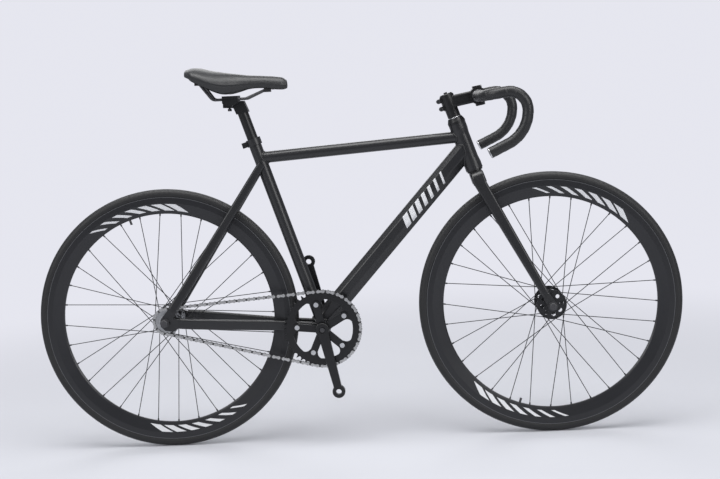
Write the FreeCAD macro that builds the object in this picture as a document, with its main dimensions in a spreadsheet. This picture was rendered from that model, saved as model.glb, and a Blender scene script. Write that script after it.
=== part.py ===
"""Fixed gear bike: a parametric assembly of its separate pieces, in millimetres.

X points forward, Y to the rider's left and Z up. The origin is on the ground, midway between the
axles. The chain is on the right, at negative Y.
"""
import FreeCAD, Part
import math
import os

import Sketcher
from FreeCAD import Placement, Rotation, Vector

X_AXIS = Vector(1, 0, 0)
Y_AXIS = Vector(0, 1, 0)
Z_AXIS = Vector(0, 0, 1)
RIGHT = 1
LEFT = -1
SIDES = {"right": RIGHT, "left": LEFT}

# Driving dimensions, as the sheet holds them: millimetres, degrees and counts
DIMENSIONS = {
    # Layout of the frame
    "wheelbase": 985,
    "bb_drop": 36,
    "seat_angle": 72.4,
    "head_angle": 71.2,
    "fork_offset": 58,
    "fork_length": 386,
    "seat_tube_length": 515,
    "head_tube_length": 125,
    "top_tube_seat_drop": 52,
    "top_tube_head_drop": 36,
    "down_tube_head_rise": 58,
    "down_tube_bb_rise": 15,
    "seat_stay_drop": 68,
    # Fits
    "running_clearance": 0.05,
    "face_gap": 0.3,
    # Frame tubes
    "tube_wall": 1.6,
    "head_tube_radius": 20.4,
    "head_tube_end_radius": 22,
    "head_tube_end_height": 16,
    "head_tube_taper": 14,
    "top_tube_radius": 14.6,
    "seat_tube_radius": 15.9,
    "down_tube_height": 50,
    "down_tube_width": 39,
    "down_tube_top_flat": 18,
    "down_tube_bottom_flat": 12,
    "down_tube_shoulder": 13,
    "down_tube_crease": -7,
    "down_tube_rounding": 7,
    "bb_shell_radius": 20.5,
    "bb_shell_width": 68,
    "bb_bore_radius": 17,
    "chain_stay_height": 26,
    "chain_stay_width": 14,
    "chain_stay_spread": 26,
    "chain_stay_straight": 120,
    "chain_stay_flare_end": 70,
    "chain_stay_bend_radius": 160,
    "seat_stay_top_depth": 20,
    "seat_stay_top_width": 13,
    "seat_stay_end_depth": 24,
    "seat_stay_end_width": 13,
    "seat_stay_top_spread": 12,
    "stay_corner": 5,
    "stay_end_gap": 38,
    "stay_solid_top": 40,
    "stay_solid_end": 45,
    "bridge_radius": 5,
    "bridge_tyre_room": 12,
    "track_end_thickness": 7,
    "track_end_tail": 11,
    "track_end_tail_half": 9,
    "track_end_belly_drop": 20,
    "track_end_heel_drop": 23,
    "track_end_heel_reach": 20,
    "track_end_toe_drop": 14,
    "track_end_toe_reach": 36,
    "track_end_crotch": 24,
    "track_end_tongue": 55,
    "track_end_tongue_width": 17,
    "track_slot_room": 14,
    "seat_collar_radius": 19,
    "seat_collar_height": 18,
    "seat_slot_width": 3,
    "seat_slot_depth": 38,
    "seat_lug_reach": 31,
    "seat_lug_width": 15,
    "seat_lug_height": 14,
    "small_bolt_radius": 2.5,
    "small_bolt_head_radius": 4.4,
    "small_bolt_head_height": 4,
    # Bearings
    "headset_bore_radius": 17,
    "headset_bearing_height": 8,
    "bb_cup_depth": 18,
    "bb_cup_flange_radius": 19,
    "bb_cup_flange_height": 2,
    # Fork
    "steerer_radius": 14.3,
    "steerer_wall": 2.4,
    "crown_race_height": 4,
    "crown_race_radius": 20,
    "crown_height": 32,
    "crown_depth": 34,
    "crown_arch_height": 12,
    "crown_shoulder": 18,
    "crown_rounding": 6,
    "blade_spread": 31,
    "blade_top_depth": 31,
    "blade_top_width": 20,
    "blade_end_depth": 20,
    "blade_end_width": 12,
    "blade_corner": 5.5,
    "blade_top_overrun": 10,
    "blade_end_gap": 32,
    "blade_solid_end": 45,
    "fork_end_thickness": 7,
    "fork_end_radius": 13,
    "fork_end_tongue": 50,
    "fork_end_tongue_width": 15,
    # Headset cover, spacers, stem and top cap
    "cover_height": 15,
    "cover_radius": 22.5,
    "cover_top_radius": 18,
    "spacer_height": 24,
    "spacer_radius": 16.4,
    "stem_clamp_height": 36,
    "stem_clamp_radius": 18.5,
    "stem_length": 75,
    "stem_drop_angle": 8.8,
    "stem_height": 30.6,
    "stem_width": 28,
    "stem_corner": 5,
    "stem_recess_height": 17,
    "stem_recess_length": 34,
    "stem_recess_depth": 1.5,
    "stem_lug_radius": 5.5,
    "stem_lug_reach": 24,
    "stem_lug_width": 22,
    "stem_lug_spacing": 20,
    "stem_slit": 2.5,
    "bar_clamp_outer_radius": 21.5,
    "bar_clamp_width": 44,
    "faceplate_gap": 1.5,
    "faceplate_lug_height": 25,
    "faceplate_lug_depth": 9,
    "faceplate_bolt_spacing": 28,
    "faceplate_bolt_height": 20.5,
    "top_cap_radius": 17,
    "top_cap_height": 4,
    # Handlebar
    "bar_clamp_radius": 15.9,
    "bar_clamp_half": 27,
    "bar_taper_half": 46,
    "bar_radius": 11.9,
    "bar_wall": 2,
    "bar_width": 420,
    "bar_reach": 104,
    "bar_drop": 135,
    "bar_end_setback": 12,
    "bar_ramp_angle": 8,
    "bar_end_angle": 25,
    "bar_bend_radius": 50,
    "bar_hook_radius": 44,
    "bar_drop_radius": 85,
    "tape_start": 48,
    "tape_thickness": 1.6,
    "plug_cap_height": 3,
    "plug_depth": 16,
    # Wheels
    "tyre_radius": 337,
    "tyre_width": 25,
    "tyre_casing": 3,
    "rim_radius": 317,
    "rim_depth": 43.3,
    "rim_width": 23,
    "rim_brake_height": 15,
    "rim_nose_width": 9,
    "rim_nose_flat": 5,
    "rim_nose_height": 3,
    "rim_wall": 1.7,
    "rim_bed_depth": 8,
    "spoke_count": 32,
    "spoke_crosses": 3,
    "spoke_radius": 1.0,
    "spoke_head_radius": 1.6,
    "spoke_head_height": 1,
    "spoke_hole_inset": 3,
    "spoke_hole_clearance": 0.2,
    "spoke_elbow_reach": 2.6,
    "spoke_elbow_radius": 2,
    "nipple_radius": 2,
    "nipple_length": 14,
    "nipple_hole_clearance": 0.4,
    "valve_radius": 3,
    "valve_reach": 12,
    "valve_hole_clearance": 0.2,
    "front_spoke_phase": 88.4,
    "rear_spoke_phase": 91.3,
    "front_valve_step": 14.5,
    "rear_valve_step": 1.5,
    "front_hub_width": 100,
    "rear_hub_width": 120,
    "front_flange_radius": 38,
    "rear_flange_radius": 35,
    "front_flange_offset": 33,
    "rear_flange_offset": 33,
    "flange_thickness": 3,
    "flange_window_radius": 5.5,
    "flange_window_count": 8,
    "hub_barrel_radius": 15,
    "hub_end_radius": 17,
    "hub_end_inset": 4,
    "hub_bore_radius": 12.5,
    "hub_bearing_width": 7,
    "axle_radius": 4.75,
    "axle_cone_radius": 8.5,
    "axle_slot_clearance": 0.2,
    "nut_radius": 9.5,
    "nut_height": 12,
    "nut_dome": 3,
    "washer_radius": 12,
    "washer_height": 2,
    "axle_end_reach": 9,
    # Chain, chainring and sprocket
    "chain_pitch": 12.7,
    "chain_links": 96,
    "ring_teeth": 48,
    "sprocket_teeth": 16,
    "chain_line": 43,
    "tooth_thickness": 3,
    "tooth_height": 4,
    "tooth_flank": 2,
    "roller_radius": 3.9,
    "roller_seat_clearance": 0.45,
    "chain_inner_width": 3.5,
    "chain_plate_thickness": 1,
    "chain_plate_gap": 0.1,
    "chain_plate_radius": 4.2,
    "chain_waist_height": 5.6,
    "pin_radius": 1.8,
    "pin_clearance": 0.05,
    "pin_reach": 0.6,
    "sprocket_thread_radius": 17.5,
    "lockring_radius": 20.5,
    "lockring_height": 4,
    "lockring_thread_radius": 16.5,
    # Crank
    "crank_length": 165,
    "crank_rest_angle": 12,
    "crank_inner_face": 51,
    "crank_arm_thickness": 13,
    "crank_arm_width": 28,
    "crank_neck_width": 20,
    "crank_boss_radius": 18,
    "crank_boss_inner_face": 38,
    "crank_end_radius": 16.5,
    "crank_edge": 2.5,
    "pedal_thread_radius": 7.14,
    "spider_arms": 5,
    "spider_thickness": 6,
    "spider_arm_width": 19,
    "bolt_circle_radius": 65,
    "ring_inner_radius": 77,
    "ring_tab_width": 21,
    "ring_tab_flare": 14,
    "ring_tab_overlap": 2,
    "ring_bolt_radius": 5,
    "ring_bolt_head_radius": 6.2,
    "ring_bolt_head_height": 1.6,
    "spindle_radius": 8.5,
    "crank_bolt_radius": 6,
    "crank_bolt_height": 5,
    # Seatpost, clamp and saddle
    "post_radius": 13.6,
    "post_wall": 2.2,
    "post_length": 270,
    "post_solid_top": 30,
    "post_extension": 83,
    "post_setback": 24,
    "post_pivot_rise": 36,
    "post_head_width": 28,
    "post_head_rear": 20,
    "post_head_top": 18,
    "post_head_lip": 34,
    "post_head_throat": 6,
    "post_head_throat_drop": 35.5,
    "post_head_heel": 13,
    "post_head_drop": 52,
    "post_head_front": 44,
    "post_head_front_drop": 46,
    "post_head_nose": 33,
    "cradle_radius": 30,
    "cradle_length": 40,
    "cradle_width": 56,
    "rail_drop": 13,
    "rail_radius": 3.5,
    "rail_spacing": 44,
    "clamp_split": 1,
    "clamp_plate_height": 8,
    "clamp_bolt_radius": 3,
    "clamp_bolt_setback": 5,
    "clamp_bolt_swing": 6,
    "clamp_bolt_drop": 37,
    "clamp_bolt_head_radius": 5,
    "clamp_bolt_head_height": 6,
    "rail_rear_reach": 44,
    "rail_front_reach": 40,
    "rail_bend_radius": 14,
    "rail_rear_rise": 46,
    "rail_rear_lean": 33,
    "rail_rear_spread": 64,
    "rail_front_rise": 22,
    "rail_front_lean": 54,
    "rail_front_spread": 9,
    "saddle_length": 258,
    "saddle_width": 140,
    "saddle_rear_reach": 113,
    "saddle_height": 83,
    "saddle_pad": 16,
    "saddle_tuck": 5,
    "saddle_lip": 3,
    "saddle_narrow": 20,
    "saddle_shell": 3,
    "saddle_socket": 16,
}

# The saddle from rear to nose, as shares of its length, half width, height (top, edge, skirt) and pad
SADDLE_STATIONS = (
    (0.012, 0.486, 0.892, 0.843, 0.771, 0.44),
    (0.062, 0.829, 0.988, 0.867, 0.651, 0.75),
    (0.140, 1.000, 0.988, 0.771, 0.506, 1.0),
    (0.256, 0.943, 0.898, 0.651, 0.313, 1.0),
    (0.384, 0.714, 0.819, 0.590, 0.157, 1.0),
    (0.500, 0.486, 0.759, 0.566, 0.193, 1.0),
    (0.616, 0.357, 0.705, 0.530, 0.283, 1.0),
    (0.767, 0.293, 0.663, 0.506, 0.289, 1.0),
    (0.903, 0.264, 0.596, 0.446, 0.229, 0.875),
    (0.973, 0.186, 0.482, 0.386, 0.241, 0.375),
    (0.996, 0.086, 0.386, 0.337, 0.277, 0.3),
)
# The stations that the stiff shell under the cover reaches
SHELL_STATIONS = slice(1, 9)
# The most that the arch under the saddle rises, as a share of half its span
ARCH_SHARE = 0.8

doc = FreeCAD.newDocument("fixed_gear_bike")
sheet = doc.addObject("Spreadsheet::Sheet", "dims")
pieces = []


class Size:
    """A number of the sheet, or one worked out from such numbers, with the formula that gives it."""

    def __init__(self, number, formula):
        self.number = number
        self.formula = formula

    def __float__(self):
        return float(self.number)

    def __add__(self, other):
        return combine(self, "+", other)

    def __radd__(self, other):
        return combine(other, "+", self)

    def __sub__(self, other):
        return combine(self, "-", other)

    def __rsub__(self, other):
        return combine(other, "-", self)

    def __mul__(self, other):
        return combine(self, "*", other)

    def __rmul__(self, other):
        return combine(other, "*", self)

    def __truediv__(self, other):
        return combine(self, "/", other)

    def __neg__(self):
        return combine(0, "-", self)


def as_size(value):
    """Give a plain number the form of a size."""
    if isinstance(value, Size):
        return value
    return Size(float(value), f"({float(value)!r})")


def combine(first, sign, second):
    """Work out a size from two others."""
    first, second = as_size(first), as_size(second)
    numbers = {
        "+": first.number + second.number,
        "-": first.number - second.number,
        "*": first.number * second.number,
    }
    number = first.number / second.number if sign == "/" else numbers[sign]
    return Size(number, f"({first.formula} {sign} {second.formula})")


def fill_sheet():
    """Write the driving dimensions to the sheet and return them as sizes by name."""
    for row, (name, value) in enumerate(DIMENSIONS.items(), start=1):
        sheet.set(f"A{row}", name)
        sheet.set(f"B{row}", str(value))
        sheet.setAlias(f"B{row}", name)
    doc.recompute()
    return {name: Size(float(sheet.get(name)), f"dims.{name}") for name in DIMENSIONS}


size = fill_sheet()


def bind(thing, name, value):
    """Tie one property of a document object to the sheet."""
    if isinstance(value, Size):
        thing.setExpression(name, value.formula)
    else:
        setattr(thing, name, value)


def point(x, y, z):
    """A vector from sizes or numbers."""
    return Vector(float(x), float(y), float(z))


def frame_at(origin, turn=None):
    """A placement at an origin, with an optional rotation."""
    return Placement(origin, turn or Rotation())


def shifted(frame, x=0, y=0, z=0):
    """A frame moved along its own axes."""
    return frame.multiply(frame_at(point(x, y, z)))


def turned_by(frame, degrees, axis=Z_AXIS):
    """A frame turned about one of its own axes."""
    return frame.multiply(frame_at(Vector(), Rotation(axis, float(degrees))))


def side_frame(origin):
    """A frame for what turns on an axle: X forward, Y up and Z out to the right."""
    return frame_at(origin, Rotation(X_AXIS, 90))


def keep(thing, label):
    """Name a finished piece and put it on the list of those that are written."""
    thing.Label = label
    pieces.append(thing)
    return thing


# Sketches


def new_body(name):
    """An empty body."""
    return doc.addObject("PartDesign::Body", name)


def new_sketch(body, plane="XY_Plane", lift=0, turn=0):
    """A sketch on one of a body's own planes, lifted off it and turned on it."""
    origin = {feature.Role: feature for feature in body.Origin.OriginFeatures}
    sketch = body.newObject("Sketcher::SketchObject", "outline")
    sketch.AttachmentSupport = [(origin[plane], "")]
    sketch.MapMode = "FlatFace"
    sketch.AttachmentOffset = frame_at(point(0, 0, lift), Rotation(Z_AXIS, float(turn)))
    return sketch


def arc_between(start, end, radius, bulges_left):
    """The arc of up to a half circle from start to end that bulges to one side of the way."""
    chord = end - start
    half = chord.Length / 2
    normal = Vector(-chord.y, chord.x, 0).normalize()
    offset = math.sqrt(max(radius * radius - half * half, 0))
    middle = start + chord * 0.5
    centre = middle - normal * offset if bulges_left else middle + normal * offset
    angles = [math.atan2(place.y - centre.y, place.x - centre.x) for place in (start, end)]
    if bulges_left:
        angles.reverse()
    return Part.ArcOfCircle(Part.Circle(centre, Z_AXIS, radius), *angles)


def draw_outline(sketch, corners):
    """Draw a closed outline and tie every corner of it to the sheet.

    A corner is (x, y), or (x, y, radius, bulges_left) where an arc leaves it for the next corner.
    """
    first = sketch.GeometryCount
    count = len(corners)
    places = [point(corner[0], corner[1], 0) for corner in corners]
    ends = []
    for index, corner in enumerate(corners):
        start, end = places[index], places[(index + 1) % count]
        if len(corner) == 2:
            sketch.addGeometry(Part.LineSegment(start, end), False)
            ends.append((1, 2))
        else:
            sketch.addGeometry(arc_between(start, end, float(corner[2]), corner[3]), False)
            ends.append((2, 1) if corner[3] else (1, 2))
    ties = []
    for index, corner in enumerate(corners):
        edge, before = first + index, first + (index - 1) % count
        start = ends[index][0]
        ties.append((Sketcher.Constraint("Coincident", before, ends[index - 1][1], edge, start), None))
        for direction, value in (("DistanceX", corner[0]), ("DistanceY", corner[1])):
            ties.append((Sketcher.Constraint(direction, -1, 1, edge, start, float(value)), value))
        if len(corner) > 2:
            ties.append((Sketcher.Constraint("Radius", edge, float(corner[2])), corner[2]))
    add_constraints(sketch, ties)


def draw_circle(sketch, radius, x=0, y=0):
    """Draw a circle and tie its radius and centre to the sheet."""
    edge = sketch.addGeometry(Part.Circle(point(x, y, 0), Z_AXIS, float(radius)), False)
    ties = [(Sketcher.Constraint("Radius", edge, float(radius)), radius)]
    for direction, value in (("DistanceX", x), ("DistanceY", y)):
        ties.append((Sketcher.Constraint(direction, -1, 1, edge, 3, float(value)), value))
    add_constraints(sketch, ties)


def add_constraints(sketch, ties):
    """Add constraints, each with the size that drives it or with none."""
    numbers = sketch.addConstraint([constraint for constraint, value in ties])
    for number, (constraint, value) in zip(numbers, ties):
        if isinstance(value, Size):
            sketch.setExpression(f"Constraints[{number}]", value.formula)


def rounded_box(width, height, corner):
    """The corners of a rectangle with rounded corners, centred on the origin."""
    x, y = width / 2, height / 2
    return [
        (corner - x, -y),
        (x - corner, -y, corner, False),
        (x, corner - y),
        (x, y - corner, corner, False),
        (x - corner, y),
        (corner - x, y, corner, False),
        (-x, y - corner),
        (-x, corner - y, corner, False),
    ]


# Features


def turned(name, frame, *loops):
    """A body turned about its Z axis from closed outlines of (radius, height) corners."""
    body = new_body(name)
    sketch = new_sketch(body, "XZ_Plane")
    for loop in loops:
        draw_outline(sketch, loop)
    turn = body.newObject("PartDesign::Revolution", "turn")
    turn.Profile = sketch
    turn.ReferenceAxis = (sketch, ["V_Axis"])
    turn.Angle = 360
    body.Placement = frame
    return body


def ring(name, frame, inner, outer, low, high):
    """A plain ring about the frame's Z axis."""
    return turned(name, frame, [(inner, low), (outer, low), (outer, high), (inner, high)])


def add_pad(body, sketch, length):
    """Pad a sketch along its normal."""
    feature = body.newObject("PartDesign::Pad", "pad")
    feature.Profile = sketch
    bind(feature, "Length", length)
    return feature


def add_pocket(body, sketch, length=None, both_ways=False):
    """Cut a sketch out of a body, against its normal, to a depth or right through."""
    feature = body.newObject("PartDesign::Pocket", "pocket")
    feature.Profile = sketch
    if both_ways:
        feature.SideType = "Symmetric"
    if length is None:
        feature.Type = "ThroughAll"
    else:
        bind(feature, "Length", length)
    return feature


def add_pattern(body, feature, count):
    """Repeat a feature evenly round the body's Z axis."""
    origin = {item.Role: item for item in body.Origin.OriginFeatures}
    pattern = body.newObject("PartDesign::PolarPattern", "pattern")
    pattern.Originals = [feature]
    pattern.Axis = (origin["Z_Axis"], [""])
    pattern.Angle = 360
    bind(pattern, "Occurrences", count)
    body.Tip = pattern
    return pattern


def cylinder(name, frame, radius, low, high):
    """A round bar along the frame's Z axis, between two heights."""
    bar = doc.addObject("Part::Cylinder", name)
    bind(bar, "Radius", radius)
    bind(bar, "Height", as_size(high) - low)
    bar.Placement = shifted(frame, z=low)
    return bar


def block(name, frame, x, y, z):
    """A box from three (low, high) pairs in a frame."""
    box = doc.addObject("Part::Box", name)
    for side, (low, high) in (("Length", x), ("Width", y), ("Height", z)):
        bind(box, side, as_size(high) - low)
    box.Placement = shifted(frame, x[0], y[0], z[0])
    return box


def cut(base, *tools):
    """What is left of a piece after others are cut out of it."""
    for tool in tools:
        result = doc.addObject("Part::Cut", "cut")
        result.Base = base
        result.Tool = tool
        base = result
    return base


def fuse(*things):
    """Pieces that are made in one."""
    result = doc.addObject("Part::MultiFuse", "fuse")
    result.Shapes = list(things)
    return result


def common(first, second):
    """What two solids share."""
    result = doc.addObject("Part::Common", "common")
    result.Base = first
    result.Tool = second
    return result


def group(*things):
    """Separate solids that are one kind of piece."""
    result = doc.addObject("Part::Compound", "group")
    result.Links = list(things)
    return result


def shape_piece(name, shape, frame=None):
    """A piece whose shape is worked out from sizes of the sheet."""
    feature = doc.addObject("Part::Feature", name)
    feature.Shape = shape
    if frame:
        feature.Placement = frame
    return feature


def section_sketch(name, frame, corners):
    """A closed outline that stands free in a frame."""
    sketch = doc.addObject("Sketcher::SketchObject", name)
    sketch.Placement = frame
    draw_outline(sketch, corners)
    return sketch


def rounded_path(places, radii):
    """A wire through places, with its inner corners rounded by tangent arcs."""
    edges = []
    reached = places[0]
    for before, corner, after, radius in zip(places, places[1:], places[2:], radii):
        arrive = (corner - before).normalize()
        leave = (after - corner).normalize()
        half_turn = arrive.getAngle(leave) / 2
        start = corner - arrive * (radius * math.tan(half_turn))
        end = corner + leave * (radius * math.tan(half_turn))
        inward = (leave - arrive).normalize()
        middle = corner + inward * (radius / math.cos(half_turn) - radius)
        edges.append(Part.LineSegment(reached, start).toShape())
        edges.append(Part.Arc(start, middle, end).toShape())
        reached = end
    edges.append(Part.LineSegment(reached, places[-1]).toShape())
    return Part.Wire(edges)


def swept(name, section, wire):
    """A section carried along a wire."""
    path = doc.addObject("Part::Feature", f"{name}_path")
    path.Shape = wire
    sweep = doc.addObject("Part::Sweep", name)
    sweep.Sections = [section]
    sweep.Spine = (path, [f"Edge{number + 1}" for number in range(len(wire.Edges))])
    sweep.Solid = True
    return sweep


def swept_round(name, radius, places, radii):
    """A round rod along a path of straight runs and arcs."""
    section = doc.addObject("Part::Circle", f"{name}_section")
    bind(section, "Radius", radius)
    section.Placement = frame_at(places[0], Rotation(Z_AXIS, places[1] - places[0]))
    return swept(name, section, rounded_path(places, radii))


def tapered_tube(name, start, end, top, bottom, corner, wall, solid_ends):
    """A straight tube of rounded box section that changes size evenly from start to end.

    Its bore stops a solid length before each end, or is open where that length is zero.
    """
    along = (end - start).normalize()
    body = new_body(name)
    body.Placement = frame_at(start, Rotation(X_AXIS, Y_AXIS, along, "ZYX"))
    length = (end - start).Length
    bore_start, bore_end = float(solid_ends[0]), length - float(solid_ends[1])
    for kind, lifts, inset in (
        ("PartDesign::AdditiveLoft", (0, length), 0),
        ("PartDesign::SubtractiveLoft", (bore_start, bore_end), wall),
    ):
        sketches = []
        for lift in lifts:
            share = lift / length
            depth, width = (
                first + (second - first) * share - as_size(inset) * 2 for first, second in zip(top, bottom)
            )
            sketch = new_sketch(body, lift=lift)
            draw_outline(sketch, rounded_box(depth, width, corner - inset))
            sketches.append(sketch)
        loft = body.newObject(kind, "loft")
        loft.Profile = sketches[0]
        loft.Sections = sketches[1:]
    return body


# Layout: the places that the pieces share


def effective_radius(teeth):
    """The radius at which a chain's rollers lie on a toothed wheel, one pitch of arc per tooth."""
    return size["chain_pitch"] * teeth / (2 * math.pi)


def chain_path_length(distance, large, small):
    """The length of a closed belt round two wheels."""
    slope = math.asin((large - small) / distance)
    straight = distance * math.cos(slope)
    return 2 * straight + large * (math.pi + 2 * slope) + small * (math.pi - 2 * slope)


def axle_distance(large, small):
    """The distance between bottom bracket and rear axle at which the whole chain is tight."""
    target = float(size["chain_pitch"] * size["chain_links"])
    low, high = large + small, target
    for halving in range(80):
        middle = (low + high) / 2
        if chain_path_length(middle, large, small) < target:
            low = middle
        else:
            high = middle
    return low


def direction(degrees_back):
    """The upward direction in the bike's plane that leans back from upright."""
    lean = math.radians(degrees_back)
    return Vector(-math.sin(lean), 0, math.cos(lean))


ring_radius = effective_radius(size["ring_teeth"])
sprocket_radius = effective_radius(size["sprocket_teeth"])
chain_stay_length = axle_distance(float(ring_radius), float(sprocket_radius))

rear_axle = point(-size["wheelbase"] / 2, 0, size["tyre_radius"])
front_axle = point(size["wheelbase"] / 2, 0, size["tyre_radius"])
bb_advance = math.sqrt(chain_stay_length**2 - float(size["bb_drop"]) ** 2)
bottom_bracket = rear_axle + point(bb_advance, 0, -size["bb_drop"])

seat_lean = 90 - float(size["seat_angle"])
head_lean = 90 - float(size["head_angle"])
head_up = direction(head_lean)
head_forward = Vector(head_up.z, 0, -head_up.x)

seat_frame = frame_at(bottom_bracket, Rotation(Y_AXIS, -seat_lean))
head_frame = frame_at(front_axle - head_forward * float(size["fork_offset"]), Rotation(Y_AXIS, -head_lean))
rear_frame = side_frame(rear_axle)
front_frame = side_frame(front_axle)
crank_frame = turned_by(side_frame(bottom_bracket), size["crank_rest_angle"])

# Heights along the steering axis, counted from the foot of the front axle
race_top = size["fork_length"] + size["crown_race_height"]
head_low = race_top + size["face_gap"]
head_high = head_low + size["head_tube_length"]
cover_low = head_high + size["face_gap"]
cover_high = cover_low + size["cover_height"]
stem_low = cover_high + size["spacer_height"]
stem_high = stem_low + size["stem_clamp_height"]

# The stem leans forward from the middle of its clamp to the middle of the bar
stem_slope = head_lean - float(size["stem_drop_angle"])
stem_frame = frame_at(
    head_frame.multVec(point(0, 0, (stem_low + stem_high) / 2)), Rotation(Y_AXIS, -stem_slope)
)
bar_frame = shifted(stem_frame, x=size["stem_length"])
bar_centre = bar_frame.Base

# The saddle clamp sits behind the top of the post and keeps level
post_top = size["seat_tube_length"] + size["post_extension"]
post_head = seat_frame.multVec(point(0, 0, post_top))
pivot = post_head + point(-size["post_setback"], 0, size["post_pivot_rise"])
pivot_frame = frame_at(pivot)
cross_frame = frame_at(pivot, Rotation(X_AXIS, 90))


def stay_place(side):
    """The middle of the track end of one side, at the rear axle."""
    middle = size["rear_hub_width"] / 2 + size["track_end_thickness"] / 2
    return rear_axle + point(0, -side * middle, 0)


# Frame


def head_tube_profile(inner):
    """The outline of the head tube, waisted between its two bearing seats."""
    end, waist = size["head_tube_end_radius"], size["head_tube_radius"]
    seat, taper = size["head_tube_end_height"], size["head_tube_taper"]
    return [
        (inner, head_low),
        (end, head_low),
        (end, head_low + seat),
        (waist, head_low + seat + taper),
        (waist, head_high - seat - taper),
        (end, head_high - seat),
        (end, head_high),
        (inner, head_high),
    ]


def main_tubes():
    """Head tube, top tube, down tube, seat tube and bottom bracket shell, mitred to each other."""
    wall = size["tube_wall"]
    keep(turned("head_tube_body", head_frame, head_tube_profile(size["headset_bore_radius"])), "head_tube")
    head_solid = turned("head_solid", head_frame, head_tube_profile(0))

    shell_frame = side_frame(bottom_bracket)
    half = size["bb_shell_width"] / 2
    keep(
        ring("shell_body", shell_frame, size["bb_bore_radius"], size["bb_shell_radius"], -half, half),
        "bottom_bracket_shell",
    )
    shell_solid = cylinder("shell_solid", shell_frame, size["bb_shell_radius"], -half, half)

    bore = size["post_radius"] + size["running_clearance"]
    length = size["seat_tube_length"]
    seat_solid = cylinder("seat_solid", seat_frame, size["seat_tube_radius"], 0, length)
    seat_bore = cylinder("seat_bore", seat_frame, bore, 0, length)
    slot = block(
        "seat_slot",
        seat_frame,
        (-size["seat_tube_radius"] * 2, 0),
        (-size["seat_slot_width"] / 2, size["seat_slot_width"] / 2),
        (length - size["seat_slot_depth"], length),
    )
    keep(cut(seat_solid, seat_bore, slot, shell_solid), "seat_tube")

    start = seat_frame.multVec(point(0, 0, length - size["top_tube_seat_drop"]))
    end = head_frame.multVec(point(0, 0, head_high - size["top_tube_head_drop"]))
    reach = (end - start).Length
    top_frame = frame_at(start, Rotation(Z_AXIS, end - start))
    top_solid = cylinder("top_solid", top_frame, size["top_tube_radius"], 0, reach)
    top_bore = cylinder("top_bore", top_frame, size["top_tube_radius"] - wall, 0, reach)
    keep(cut(top_solid, top_bore, seat_solid, head_solid), "top_tube")

    keep(cut(down_tube(), shell_solid, seat_solid, head_solid, top_solid), "down_tube")
    return {"shell": shell_solid, "seat": seat_solid}


def down_tube_outline(inset):
    """The shield section of the down tube, with its crease below the middle."""
    top, side, bottom = (
        size["down_tube_top_flat"] / 2 - inset * 0.5,
        size["down_tube_width"] / 2 - inset,
        size["down_tube_bottom_flat"] / 2 - inset * 0.5,
    )
    high = size["down_tube_height"] / 2 - inset
    shoulder, crease = size["down_tube_shoulder"], size["down_tube_crease"]
    return [
        (-high, -bottom),
        (crease, -side),
        (shoulder, -side),
        (high, -top),
        (high, top),
        (shoulder, side),
        (crease, side),
        (-high, bottom),
    ]


def down_tube():
    """The down tube before it is mitred: a creased section, rounded along its edges."""
    start = bottom_bracket + point(0, 0, size["down_tube_bb_rise"])
    end = head_frame.multVec(point(0, 0, head_low + size["down_tube_head_rise"]))
    along = (end - start).normalize()
    up = Vector(-along.z, 0, along.x)
    body = new_body("down_tube_body")
    body.Placement = frame_at(start, Rotation(up, Vector(), along, "ZXY"))
    reach = (end - start).Length
    sketch = new_sketch(body)
    draw_outline(sketch, down_tube_outline(0))
    pad = add_pad(body, sketch, reach)
    doc.recompute()
    lengthwise = [
        f"Edge{number + 1}"
        for number, edge in enumerate(pad.Shape.Edges)
        if abs(edge.Length - reach) < 1e-6
    ]
    rounding = body.newObject("PartDesign::Fillet", "rounding")
    rounding.Base = (pad, lengthwise)
    bind(rounding, "Radius", size["down_tube_rounding"])
    bore = new_sketch(body, lift=reach)
    draw_outline(bore, down_tube_outline(size["tube_wall"] * 2))
    add_pocket(body, bore)
    return body


def stays(solids):
    """Chain stays, seat stays, track ends and the two bridges."""
    ends, chain_stays, seat_stays = [], {}, {}
    seat_node = seat_frame.multVec(point(0, 0, size["seat_tube_length"] - size["seat_stay_drop"]))
    for name, side in SIDES.items():
        end = track_end(name, side, seat_node)
        ends.append(end)
        chain_stays[name] = keep(
            cut(chain_stay(name, side), solids["shell"], solids["seat"], end), f"chain_stay_{name}"
        )
        top = seat_node + point(0, -side * size["seat_stay_top_spread"], 0)
        along = (seat_node - rear_axle).normalize()
        tube = tapered_tube(
            f"seat_stay_{name}_body",
            top,
            stay_place(side) + along * float(size["stay_end_gap"]),
            (size["seat_stay_top_depth"], size["seat_stay_top_width"]),
            (size["seat_stay_end_depth"], size["seat_stay_end_width"]),
            size["stay_corner"],
            size["tube_wall"],
            (size["stay_solid_top"], size["stay_solid_end"]),
        )
        seat_stays[name] = keep(cut(tube, solids["seat"], end), f"seat_stay_{name}")
    keep(group(*ends), "track_ends")

    room = float(size["tyre_radius"] + size["bridge_tyre_room"] + size["bridge_radius"])
    bridges = []
    for label, node, tubes in (
        ("chain_stay", bottom_bracket, chain_stays),
        ("seat_stay", seat_node, seat_stays),
    ):
        place = rear_axle + (node - rear_axle).normalize() * room
        half = size["rear_hub_width"] / 2
        bar = cylinder(f"{label}_bridge", side_frame(place), size["bridge_radius"], -half, half)
        bridges.append(between_tubes(bar, tubes))
    keep(group(*bridges), "stay_bridges")


def between_tubes(bar, tubes):
    """The middle stretch of a bar that ends at the inner faces of the two tubes that it crosses."""
    doc.recompute()
    rest = bar.Shape
    for tube in tubes.values():
        rest = rest.cut(tube.Shape)
    middle = min(rest.Solids, key=lambda solid: abs(solid.CenterOfMass.y))
    return shape_piece(f"{bar.Name}_middle", middle)


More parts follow.
